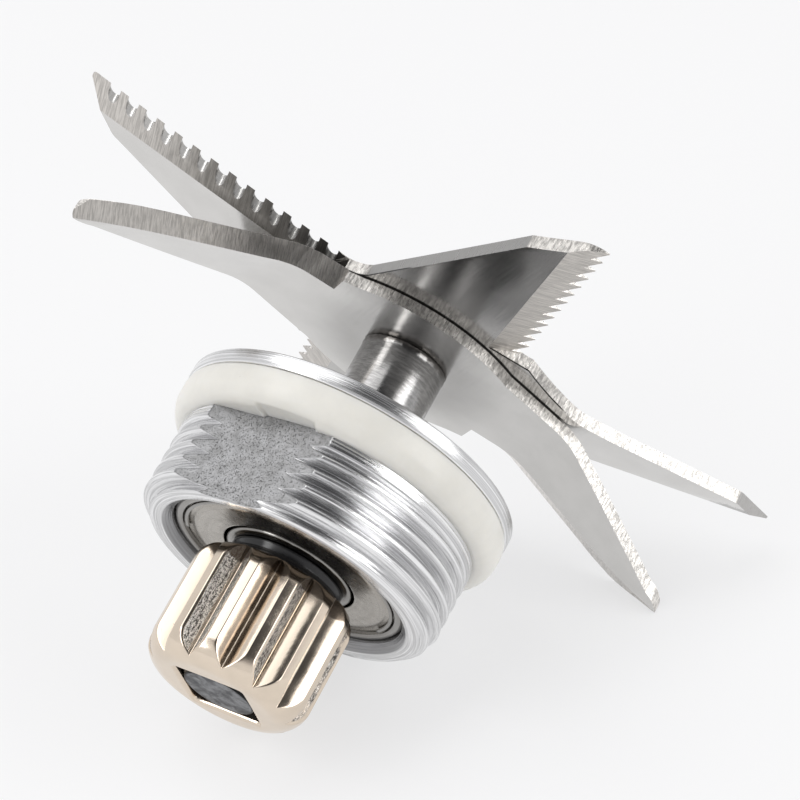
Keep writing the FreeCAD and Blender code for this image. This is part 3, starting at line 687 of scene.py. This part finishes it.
def fine_rings(height):
    """Shallow rings left above and below the thread, where the tool ran out."""
    above = smooth_step((height - THREAD_START) / 0.4)
    below = smooth_step((-HOUSING_DEPTH + 1.1 - height) / 0.3)
    wave = 0.5 + 0.5 * np.cos(TAU * height / RUN_OUT_PITCH)
    return RUN_OUT_DEPTH * (above + 0.7 * below) * wave


def housing_profile(crest):
    """The housing's section, with close points where the thread is cut, few elsewhere."""
    corners = np.array([
        (MOUTH_RADIUS, -HOUSING_DEPTH), (FOOT_RADIUS, -HOUSING_DEPTH),
        (crest, -HOUSING_DEPTH + 1.0), (crest, GASKET_LOW + 0.1),
        (COLLAR_RADIUS, GASKET_LOW + 0.2), (COLLAR_RADIUS, 0),
        (FLANGE_RADIUS - 0.15, 0), (FLANGE_RADIUS, 0.35),
        (FLANGE_RADIUS, FLANGE_TOP - 0.15), (FLANGE_RADIUS - 0.15, FLANGE_TOP),
        (SEAL_RADIUS, FLANGE_TOP), (SEAL_RADIUS, SEAL_FLOOR),
        (SEAL_RADIUS - 0.8, SEAL_FLOOR), (SEAL_RADIUS - 0.8, BEARING_ROOF),
        (BEARING_RADIUS, BEARING_ROOF), (BEARING_RADIUS, -HOUSING_DEPTH + 0.7),
    ])
    pieces = []
    for index, (start, end) in enumerate(zip(corners, np.roll(corners, -1, axis=0))):
        length = np.linalg.norm(end - start)
        cut = min(0.05, 0.3 * length) / length * (end - start)
        spacing = RUN_SPACINGS.get(index, OTHER_SPACING)
        pieces.append(divide(start + cut, end - cut, spacing, length))
    return np.concatenate(pieces)


class BLADEUNIT_OT_housing(bpy.types.Operator):
    """Threaded housing with its flange and two flats"""

    bl_idname = "bladeunit.housing"
    bl_label = "Housing"

    def execute(self, context):
        settings = context.scene.blade_housing
        profile = housing_profile(settings.thread_radius / MM)
        radius, height, angle = turn(profile, HOUSING_COLUMNS)
        outer = (radius > WALL_MIDDLE) & (height < -0.05)
        cut = thread_cut(height, angle, settings) * (radius > THREADED_RADIUS)
        cut = cut + fine_rings(height)
        radius = np.where(outer, radius - cut, radius)
        limit = flat_limit(angle)
        clipped = outer & (radius > limit) & (height < FLAT_TOP)
        radius = np.where(clipped, limit, radius)
        depth = settings.thread_depth / MM
        # The thread's depth at each point, for the painted shade in its valleys
        groove = np.clip(cut / depth, 0, 1) * outer * ~clipped
        obj = surface("housing_turned", to_points(radius, height, angle),
                      {"groove": groove})
        dress(obj, housing_material(settings), "housing", "housing")
        return {"FINISHED"}


GASKET_COLUMNS = 540
GASKET_SECTION = (
    (13.55, -0.02), (14.6, -0.02), (15.25, -0.02), (15.48, -0.12), (15.58, -0.5),
    (15.6, -1.0), (15.58, -1.6), (15.46, -2.1), (15.2, -2.6), (14.85, -3.0),
    (14.5, -3.2), (14.2, -3.3), (13.9, -3.32), (13.55, -3.3), (13.55, -2.6),
    (13.55, -2.0),
)
# Where the gasket's lower edge steps up and down over the flat: azimuth and rise in mm
JOG_AZIMUTHS = (0, 203, 221.8, 222.1, 244.4, 244.7, 251, 262, 360)
JOG_RISES = (0, 0, 0, 0.22, 0.12, -0.12, -0.12, 0, 0)


class BLADEUNIT_OT_gasket(bpy.types.Operator):
    """Silicone gasket, bulging under the flange and drawn in at the flats"""

    bl_idname = "bladeunit.gasket"
    bl_label = "Gasket"

    def execute(self, context):
        settings = context.scene.blade_housing
        radius, height, angle = turn(smooth_closed(GASKET_SECTION, 8), GASKET_COLUMNS)
        inner = radius < 14.0
        limit = flat_limit(angle) + 0.01
        low = smooth_step((-1.2 - height) / 1.5)
        shift = np.interp(np.degrees(angle) % 360, JOG_AZIMUTHS, JOG_RISES)
        height = height + shift * low * smooth_step((14.7 - radius) / 0.6)
        radius = np.where(inner & (height < FLAT_TOP) & (radius > limit), limit, radius)
        radius = radius + 0.03 * ripple(angle, 3) * (radius > 14.3)
        height = height - 0.05 * ripple(angle, 5, high=12) * low
        obj = surface("gasket_ring", to_points(radius, height, angle))
        dress(obj, gasket_material(settings), "housing", "gasket")
        return {"FINISHED"}


# Bearing and seal

BEARING_FACE = -10.6
BEARING_WIDTH = 7.0
# Sections over the bearing's lower face; the shields' and snap rings' are turned over
# for the upper side
OUTER_RING_SECTION = (
    (10.1, 0.66), (10.1, 0.12), (10.2, 0), (10.7, 0), (11.0, 0.35), (11.0, 6.65),
    (10.7, 7.0), (10.1, 7.0), (10.1, 6.34), (9.25, 6.34), (9.25, 0.66),
)
INNER_RING_SECTION = (
    (4.0, 0), (5.55, 0), (5.9, 0.12), (6.0, 0.35), (6.0, 6.65), (5.8, 7.0), (4.0, 7.0),
)
SHIELD_SECTION = (
    (6.25, 0.30), (6.26, 0.22), (6.6, 0.20), (8.6, 0.20), (9.05, 0.22), (9.3, 0.36),
    (9.6, 0.40), (9.96, 0.40), (9.98, 0.5), (9.96, 0.64), (9.3, 0.64), (9.0, 0.52),
    (8.5, 0.50), (6.4, 0.50), (6.26, 0.42),
)
SNAP_RING_SECTION = (
    (9.62, 0.20), (9.62, 0.08), (9.70, 0.04), (9.90, 0.04), (9.97, 0.10),
    (9.97, 0.30), (9.90, 0.35), (9.70, 0.35), (9.62, 0.30),
)
# From where to where around the axis the open snap rings reach
SNAP_RING_SPAN = (np.radians(152.0), np.radians(367.0))


def placed(section, base, step=1):
    """A section's heights counted from a base, upwards (step 1) or downwards (-1)."""
    return np.array([(radius, base + height * step) for radius, height in section])


class BLADEUNIT_OT_bearing(bpy.types.Operator):
    """Rings, shields and ball set of the bearing, and the shaft seal"""

    bl_idname = "bladeunit.bearing"
    bl_label = "Bearing and seal"

    def execute(self, context):
        steel = steel_material("bearing_steel", (0.29, 0.28, 0.265), 0.20)
        shield = steel_material("shield_steel", (0.42, 0.395, 0.36), 0.26, 3.0, 0.4)
        for name, section, body, node in (
                ("outer_ring_face", OUTER_RING_SECTION, "housing", "bearing_outer_ring"),
                ("inner_ring_face", INNER_RING_SECTION, "rotor", "bearing_inner_ring")):
            profile = resample(placed(section, BEARING_FACE), 0.4, 0.08)
            dress(turned(name, profile, 180), steel, body, node)
        for side, base, step in (("lower", BEARING_FACE, 1),
                                 ("upper", BEARING_FACE + BEARING_WIDTH, -1)):
            profile = smooth_closed(placed(SHIELD_SECTION, base, step), 5)
            disc = turned(side + "_shield_disc", profile, 240)
            dress(disc, shield, "housing", side + "_shield")
            profile = smooth_closed(placed(SNAP_RING_SECTION, base, step), 3)
            snap = open_ring(side + "_snap_ring", profile, SNAP_RING_SPAN)
            dress(snap, steel, "housing", side + "_shield_ring")
        cage = steel_material("cage_steel", (0.5, 0.46, 0.4), 0.3)
        for node in ("cage_lower_half", "cage_upper_half"):
            dress_node(node, cage)
        for number in range(1, 8):
            dress_node("ball_%d" % number, steel)
        dress_node("seal_case", steel_material("seal_steel", (0.5, 0.5, 0.5), 0.35))
        dress_node("seal_spring", steel)
        dress_node("seal_lip", rubber_material("seal_rubber", (0.02, 0.02, 0.02), 0.35))
        dress_node("shaft_circlip", steel)
        return {"FINISHED"}


# Spindle

COUPLING_TOP = -12.2
COUPLING_END = -23.3
COUPLING_COLUMNS = 832
SHOULDER_WIDTH = 1.15
SHOULDER_HEIGHT = 1.7
END_ROUNDING = 2.5
LIP_ROUNDING = 0.4
SOCKET_HALF = 3.3
SOCKET_AZIMUTH = np.radians(54.0)
GROOVE_AZIMUTH = np.radians(3.4)
GROOVE_HALF_WIDTH = 1.36
# How rough each groove's two walls are, and how brown its left one, groove by groove
LEFT_WALLS = (0.5, 0.3, 0.8, 0.1, 0.6, 0.2, 0.7, 0.3, 1.0, 0.1, 0.95, 0.7, 0.2)
RIGHT_WALLS = (0.6, 0.7, 0.1, 0.5, 0.0, 0.8, 0.2, 0.2, 0.9, 0.2, 0.0, 0.1, 0.6)
LEFT_TARNISH = (0.5, 0.2, 0.5, 0.3, 0.7, 0.4, 0.2, 0.3, 0.0, 0.8, 0.3, 0.2, 0.7)
RIGHT_TARNISH = 0.12


def square_radius(angle, half):
    """The radius of the socket's square in each direction, its corners rounded.

    Half its width over the 16-norm of the direction's cosine and sine.
    """
    turned_angle = angle - SOCKET_AZIMUTH
    power = 16.0
    return half / ((np.abs(np.cos(turned_angle)) ** power
                    + np.abs(np.sin(turned_angle)) ** power) ** (1 / power))


def barrel_outline(size):
    """The coupling's side from its elliptical shoulder down to its rounded end."""
    shoulder = np.linspace(0, np.pi / 2, 16)
    bow = np.linspace(0, np.pi / 2, 28)[1:]
    side = np.linspace(
        COUPLING_TOP - SHOULDER_HEIGHT, COUPLING_END + END_ROUNDING, 34)[1:]
    radius = np.concatenate([
        size - SHOULDER_WIDTH * (1 - np.sin(shoulder)), np.full(len(side), size),
        size - END_ROUNDING * (1 - np.cos(bow))])
    height = np.concatenate([
        COUPLING_TOP - SHOULDER_HEIGHT * (1 - np.cos(shoulder)), side,
        COUPLING_END + END_ROUNDING * (1 - np.sin(bow))])
    return radius[:, None], height[:, None]


def stack_rows(parts, columns):
    """Joins (radius, height) blocks of rows, each spread over all columns."""
    blocks = [np.broadcast_arrays(*part, np.empty(columns))[:2] for part in parts]
    return [np.concatenate(block) for block in zip(*blocks)]


class BLADEUNIT_OT_coupling(bpy.types.Operator):
    """Grooved drive coupling with its square hole"""

    bl_idname = "bladeunit.coupling"
    bl_label = "Drive coupling"

    def execute(self, context):
        settings = context.scene.blade_spindle
        size = settings.coupling_radius / MM
        angle = np.linspace(0, TAU, COUPLING_COLUMNS, endpoint=False)
        hole = square_radius(angle, SOCKET_HALF)
        pitch = TAU / settings.groove_count
        # Across each groove: the side of its middle, and 0 in the middle to 1 at the edge
        place = ((angle - GROOVE_AZIMUTH) / pitch + 0.5) % 1.0 - 0.5
        ramp = np.clip(np.abs(place) * pitch * size / GROOVE_HALF_WIDTH, 0, 1)
        valley = size - settings.groove_depth / MM * (1 - ramp ** 0.92)
        valley = np.where(ramp >= 1, size + 1, valley)
        outside, side_height = barrel_outline(size)
        side = np.minimum(outside, valley)
        in_groove = smooth_step((outside - side) / 0.3)
        side = side - 0.024 * np.exp(-((side - valley) ** 2) / 0.01)
        share = np.linspace(0, 1, 8)[1:, None]
        bend = share * np.pi / 2
        start = hole + (side[0] - hole) * np.array([[0.0], [0.5]])
        radius, height = stack_rows([
            (start, COUPLING_TOP),
            (side, side_height),
            (side[-1] + (hole + LIP_ROUNDING - side[-1]) * share,
             COUPLING_END + 0.002 * np.sin(bend)),
            (hole + LIP_ROUNDING * (1 - np.sin(bend)),
             COUPLING_END + LIP_ROUNDING * (1 - np.cos(bend))),
            (hole, np.linspace(COUPLING_END, COUPLING_TOP, 24)[2:-1, None]),
        ], COUPLING_COLUMNS)
        number = np.round((angle - GROOVE_AZIMUTH) / pitch).astype(int) % len(LEFT_WALLS)
        strip = smooth_step((ramp - 0.10) / 0.15) * smooth_step((0.97 - ramp) / 0.15)
        left = place < 0
        rough = np.where(left, np.take(LEFT_WALLS, number), np.take(RIGHT_WALLS, number))
        brown = np.where(left, np.take(LEFT_TARNISH, number), RIGHT_TARNISH)
        wall = np.zeros(radius.shape)
        wall[len(start):len(start) + len(side)] = in_groove * strip
        # Where the shoulder takes painted dark reflection, rising towards its top
        shoulder_reflection = smooth_step((height - (COUPLING_TOP - 2.2)) / 1.8) * (radius > 5)
        points = to_points(radius, height, np.broadcast_to(angle, radius.shape))
        obj = surface("coupling_barrel", points, {
            "rough_wall": wall * rough, "tarnish": wall * brown, "shoulder_reflection": shoulder_reflection})
        dress(obj, coupling_material(settings), "rotor",
              "drive_coupling")
        return {"FINISHED"}


CLIP_LOW = -3.6
CLIP_HIGH = -2.9
BLADE_SEAT = 11.7
WASHER_TOP = 14.9
SHAFT_END = COUPLING_END + 0.25
SHAFT_CORNERS = (
    (0.001, SHAFT_END), (3.2, SHAFT_END), (3.9, SHAFT_END + 0.7), (3.9, COUPLING_TOP),
    (4.0, COUPLING_TOP), (4.0, CLIP_LOW), (3.7, CLIP_LOW), (3.7, CLIP_HIGH),
    (4.0, CLIP_HIGH),
    (4.0, BLADE_SEAT), (3.0, BLADE_SEAT), (3.0, WASHER_TOP), (3.6, WASHER_TOP),
    (3.55, WASHER_TOP + 0.25), (3.1, WASHER_TOP + 0.6), (2.2, WASHER_TOP + 0.95),
    (1.1, WASHER_TOP + 1.14), (0.001, WASHER_TOP + 1.2),
)
TAIL_HALF = 3.25
SPIGOT_HALF = 2.4
DRIVE_WASHER_SECTION = (
    (4.02, -12.18), (4.8, -12.18), (5.2, -12.17), (5.3, -12.05), (5.12, -11.7),
    (5.02, -11.4), (5.12, -11.1), (5.3, -10.75), (5.2, -10.62), (4.8, -10.61),
    (4.02, -10.61),
)
BLADE_WASHER_SECTION = ((3.02, 14.1), (4.6, 14.1), (4.6, WASHER_TOP), (3.02, WASHER_TOP))


class BLADEUNIT_OT_spindle(bpy.types.Operator):
    """Shaft with its squared tail, washers and peened head"""

    bl_idname = "bladeunit.spindle"
    bl_label = "Spindle"

    def execute(self, context):
        settings = context.scene.blade_spindle
        profile = resample(SHAFT_CORNERS, 0.18, 0.03)
        profile = profile[profile[:, 0] > 0.0005]
        profile = profile[:np.argmax(profile[:, 1]) + 1]
        radius, height, angle = turn(profile, 240)
        tail = height < COUPLING_TOP + 0.02
        radius = np.where(
            tail, np.minimum(radius, square_radius(angle, TAIL_HALF)), radius)
        spigot = (height > BLADE_SEAT + 0.02) & (height < WASHER_TOP - 0.02)
        flats = SPIGOT_HALF / np.maximum(np.abs(np.sin(angle)), 0.05)
        radius = np.where(spigot, np.minimum(radius, flats), radius)
        # The uneven bead of the joint, a bell curve over height under the blades
        joint = np.exp(-((height - (BLADE_SEAT - 0.28)) / 0.16) ** 2) * (radius > 3.9)
        radius = radius + joint * (0.06 + 0.09 * ripple(angle, 11, 7, 4, 40))
        obj = surface("shaft_bar", to_points(radius, height, angle), wrap_along=False)
        dress(obj, shaft_material(settings), "rotor", "shaft")
        washer = turned("drive_washer_ring", smooth_closed(DRIVE_WASHER_SECTION, 6), 200)
        black = rubber_material("washer_rubber", (0.009, 0.009, 0.010), 0.14)
        dress(washer, black, "rotor", "drive_washer")
        top = turned("blade_washer_ring", resample(BLADE_WASHER_SECTION, 0.3, 0.1), 160)
        dress(top, steel_material("washer_steel", (0.6, 0.6, 0.59), 0.25), "rotor",
              "blade_washer")
        return {"FINISHED"}


# Blades

SEAM_HEIGHT = 12.9
BEND_RADIUS = 9.0
# Of each plate: where its wings bend, by which angle, and the bend's azimuth
UPPER_BEND = (11.5, np.radians(11.2), np.radians(21.4))
LOWER_BEND = (14.2, np.radians(-21.2), np.radians(12.8))
# Cosines of the tilts, 8 and 28 degrees, that part sheet, ground bevel and rim
SHEET_COSINE = 0.99
BEVEL_COSINE = 0.88


def sheet_normals(places, bend):
    """The upward normal of a bent sheet at places in mm.

    It leans by the angle whose sine is the way past the bend's start over its radius,
    up to the wing's own angle.
    """
    start, angle, azimuth = bend
    direction = np.array([np.cos(azimuth), np.sin(azimuth)])
    along = places[:, :2] @ direction
    past = np.abs(along) - start + BEND_RADIUS * np.tan(abs(angle) / 2)
    leaning = np.arcsin(np.clip(past / BEND_RADIUS, 0, np.sin(abs(angle))))
    leaning = leaning * np.sign(angle)
    level = -np.sin(leaning) * np.sign(along)
    return np.stack([level * direction[0], level * direction[1], np.cos(leaning)], axis=1)


def mesh_values(items, name, size, kind=np.float32):
    values = np.empty(len(items) * size, kind)
    items.foreach_get(name, values)
    return values.reshape(-1, size)


def finish_values(mesh, bend):
    """Each face corner's class and brightness, by the face's tilt to the sheet and place.

    Faces that lean little from the sheet are broad, polished below and brushed on top.
    Those that lean more are ground bevels, and the rest is punched rim. Bevels of the
    long upper wings darken towards the hub as painted shade, and the short wings' broad
    faces are darker as painted dark reflection. Rims are mid grey at the hub, bright
    along the long wings, and dark and smooth along the short wings' trailing edges.
    """
    normals = mesh_values(mesh.polygons, "normal", 3)
    places = mesh_values(mesh.polygons, "center", 3) / MM
    tilt = np.abs((normals * sheet_normals(places, bend)).sum(axis=1))
    rim = tilt < BEVEL_COSINE
    ground = (tilt >= BEVEL_COSINE) & (tilt < SHEET_COSINE)
    top = ~rim & ~ground & (normals[:, 2] > 0)
    upper = bend[1] > 0
    x, y = np.abs(places[:, 0]), np.abs(places[:, 1])
    short_wing = (y > 9.0) & (x < 9.5) & upper
    trailing = short_wing & (places[:, 0] * places[:, 1] > 0) & rim & (y < 28.3)
    crown = short_wing & rim & (y >= 28.3)
    tip = upper & rim & (x > 31.9)
    side = places[:, 1] * np.sign(places[:, 0])
    notch = upper & rim & (x > 10.5) & (side > 3.0 - 0.18 * (x - 10.9)) & ~tip & (y < 9)
    torn = np.where(trailing | notch | tip, 0.12, rim)
    sizes = mesh_values(mesh.polygons, "loop_total", 1, np.int32)[:, 0]
    loops = np.repeat(np.arange(len(mesh.polygons)), sizes)
    corners = mesh_values(mesh.loops, "vertex_index", 1, np.int32)[:, 0]
    out = np.abs(mesh_values(mesh.vertices, "co", 3)[corners, 0]) / MM
    # Painted shade: the upper plate's bevels darken towards the hub
    if upper:
        bevel_tone_and_shade = 0.09 + 0.53 * smooth_step((out - 9) / 27)
    else:
        bevel_tone_and_shade = 0.95 - 0.45 * smooth_step((out - 10) / 16)
    # Painted dark reflection: the short wings' broad faces are darker
    tone_and_shade = np.where(short_wing, 0.50, 0.68 if upper else 0.66)[loops]
    # Each line lays one finish over those before it; the bevels' values carry painted
    # shade too
    for faces, value in (
            (top, 0.41),
            (ground, bevel_tone_and_shade),
            (ground & short_wing, 0.60),
            (rim, 0.48 + (0.22 if upper else 0.32) * smooth_step((out - 8) / 9)),
            (rim & short_wing, 0.72),
            (trailing, 0.36),
            (crown, 0.50),
            (tip, 0.48),
            (notch, 0.22 + 0.36 * smooth_step((out - 9) / 24))):
        tone_and_shade = np.where(faces[loops], value, tone_and_shade)
    classes = {"punched": rim, "ground": ground, "torn": torn, "short_wing": short_wing,
               "top": top}
    return {"tone_and_shade": tone_and_shade, **{label: values[loops] for label, values in classes.items()}}


def blade_piece(node, name, bend, context):
    """A merged copy of a blade plate, with broken edges, its faces sorted by finish."""
    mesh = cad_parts[node].data.copy()
    obj = bpy.data.objects.new(name, mesh)
    context.scene.collection.objects.link(obj)
    merge_points(mesh, 1e-6)
    for label, values in finish_values(mesh, bend).items():
        set_attribute(mesh, label, "CORNER", values)
    mesh.shade_smooth()
    mesh.set_sharp_from_angle(angle=np.radians(22))
    broken = obj.modifiers.new("broken_edges", "BEVEL")
    broken.width = context.scene.blade_plates.edge_rounding
    broken.segments = 2
    broken.limit_method = "ANGLE"
    broken.angle_limit = np.radians(30)
    broken.harden_normals = True
    dress(obj, blade_material(), "rotor", node)


class BLADEUNIT_OT_blades(bpy.types.Operator):
    """The two blade plates with their ground and punched edges"""

    bl_idname = "bladeunit.blades"
    bl_label = "Blades"

    def execute(self, context):
        blade_piece("upper_blade", "upper_blade_sheet", UPPER_BEND, context)
        blade_piece("lower_blade", "lower_blade_sheet", LOWER_BEND, context)
        return {"FINISHED"}


# Stage


def area_light(name, place, power, width, height):
    """A rectangular light that faces the part."""
    light = bpy.data.lights.new(name, "AREA")
    light.shape = "RECTANGLE"
    light.size = width
    light.size_y = height
    light.energy = power
    obj = bpy.data.objects.new(name, light)
    bpy.context.scene.collection.objects.link(obj)
    facing = (-place).to_track_quat("-Z", "Y").to_matrix().to_4x4()
    obj.matrix_world = Matrix.Translation(place) @ facing


def make_world(settings):
    """A pale surround that is dark behind the camera, as in a small studio."""
    world = bpy.data.worlds.new("surround")
    bpy.context.scene.world = world
    world.use_nodes = True
    nodes = Nodes(world.node_tree)
    nodes.tree.nodes.clear()
    direction = nodes.fill("ShaderNodeTexCoord", "Generated", ())
    facing = nodes.fill("ShaderNodeVectorMath", "Value",
                        ((0, direction), (1, tuple(DARK_SIDE))), operation="DOT_PRODUCT")
    surround = nodes.mix(nodes.map_range(facing, 0.60, 0.97),
                         colour((0.86, 0.86, 0.87)), colour((0.08, 0.08, 0.083)))
    seen = nodes.fill("ShaderNodeLightPath", "Is Camera Ray", ())
    backdrop = nodes.mix(seen, surround, colour(settings.floor_colour))
    background = nodes.fill("ShaderNodeBackground", 0, (("Color", backdrop),))
    nodes.put(nodes.add("ShaderNodeOutputWorld").inputs[0], background)


def floor_material(settings):
    """Pale floor that keeps the shadow and can't be seen from below."""
    nodes = MaterialNodes("pale_floor")
    nodes.paint(
        Base_Color=colour(settings.floor_colour, 0.30), Roughness=0.9,
        Emission_Color=colour(settings.floor_colour), Emission_Strength=0.70,
        Specular_IOR_Level=0.1)
    below = nodes.fill("ShaderNodeNewGeometry", "Backfacing", ())
    clear = nodes.fill("ShaderNodeBsdfTransparent", 0, ())
    mixed = nodes.fill("ShaderNodeMixShader", 0, (
        (0, below), (1, Value(nodes, nodes.shader.outputs[0])), (2, clear)))
    nodes.put(nodes.output.inputs[0], mixed)
    return nodes.material


class BLADEUNIT_OT_stage(bpy.types.Operator):
    """Floor, lights and camera"""

    bl_idname = "bladeunit.stage"
    bl_label = "Stage"

    def execute(self, context):
        settings = context.scene.blade_stage
        scene = context.scene
        scene.view_settings.view_transform = "Standard"
        side = CAMERA_FORWARD.cross(CAMERA_UP).normalized()
        across = (side - FLOOR_UP * side.dot(FLOOR_UP)).normalized()
        deep = FLOOR_UP.cross(across)
        mesh = bpy.data.meshes.new("floor")
        mesh.from_pydata([
            FLOOR_TOUCH + (across * a + deep * b) * FLOOR_REACH
            for a, b in ((-1, -1), (1, -1), (1, 1), (-1, 1))], [], [(0, 1, 2, 3)])
        mesh.materials.append(floor_material(settings))
        floor = bpy.data.objects.new("floor", mesh)
        scene.collection.objects.link(floor)
        area_light("key", FLOOR_UP * 0.62 - across * 0.22 + deep * 0.1,
                   settings.key_power, 0.6, 0.6)
        area_light("left_strip", -CAMERA_FORWARD * 0.32 - side * 0.40 + CAMERA_UP * 0.16,
                   settings.strip_power, 0.14, 0.40)
        area_light("right_strip", -CAMERA_FORWARD * 0.30 + side * 0.40 + CAMERA_UP * 0.10,
                   settings.strip_power * 1.6, 0.26, 0.46)
        make_world(settings)
        camera = bpy.data.cameras.new("camera")
        camera.lens = CAMERA_LENS
        camera.sensor_width = 36.0
        camera.clip_start = 0.01
        camera.clip_end = 20.0
        obj = bpy.data.objects.new("camera", camera)
        scene.collection.objects.link(obj)
        axes = Matrix((side, CAMERA_UP, -CAMERA_FORWARD)).transposed()
        obj.matrix_world = Matrix.Translation(CAMERA_PLACE) @ axes.to_4x4()
        scene.camera = obj
        return {"FINISHED"}


# Panel and registration


class BLADEUNIT_PT_panel(bpy.types.Panel):
    """Lists the operators of the blade assembly"""

    bl_label = "Blade Assembly"
    bl_space_type = "VIEW_3D"
    bl_region_type = "UI"
    bl_category = "Blade Assembly"

    def draw(self, context):
        for operator in OPERATORS:
            self.layout.operator(operator.bl_idname)


OPERATORS = (
    BLADEUNIT_OT_housing,
    BLADEUNIT_OT_gasket,
    BLADEUNIT_OT_bearing,
    BLADEUNIT_OT_coupling,
    BLADEUNIT_OT_spindle,
    BLADEUNIT_OT_blades,
    BLADEUNIT_OT_stage,
)
SETTINGS = {
    "blade_housing": HousingSettings,
    "blade_spindle": SpindleSettings,
    "blade_plates": BladeSettings,
    "blade_stage": StageSettings,
}


def register():
    for group in SETTINGS.values():
        bpy.utils.register_class(group)
    for name, group in SETTINGS.items():
        setattr(bpy.types.Scene, name, PointerProperty(type=group))
    for operator in OPERATORS:
        bpy.utils.register_class(operator)
    bpy.utils.register_class(BLADEUNIT_PT_panel)


def unregister():
    bpy.utils.unregister_class(BLADEUNIT_PT_panel)
    for operator in reversed(OPERATORS):
        bpy.utils.unregister_class(operator)
    for name in SETTINGS:
        delattr(bpy.types.Scene, name)
    for group in reversed(list(SETTINGS.values())):
        bpy.utils.unregister_class(group)


def main():
    register()
    bpy.ops.bladeunit.housing()
    bpy.ops.bladeunit.gasket()
    bpy.ops.bladeunit.bearing()
    bpy.ops.bladeunit.coupling()
    bpy.ops.bladeunit.spindle()
    bpy.ops.bladeunit.blades()
    bpy.ops.bladeunit.stage()
    bpy.context.view_layer.update()


if __name__ == "__main__":
    main()
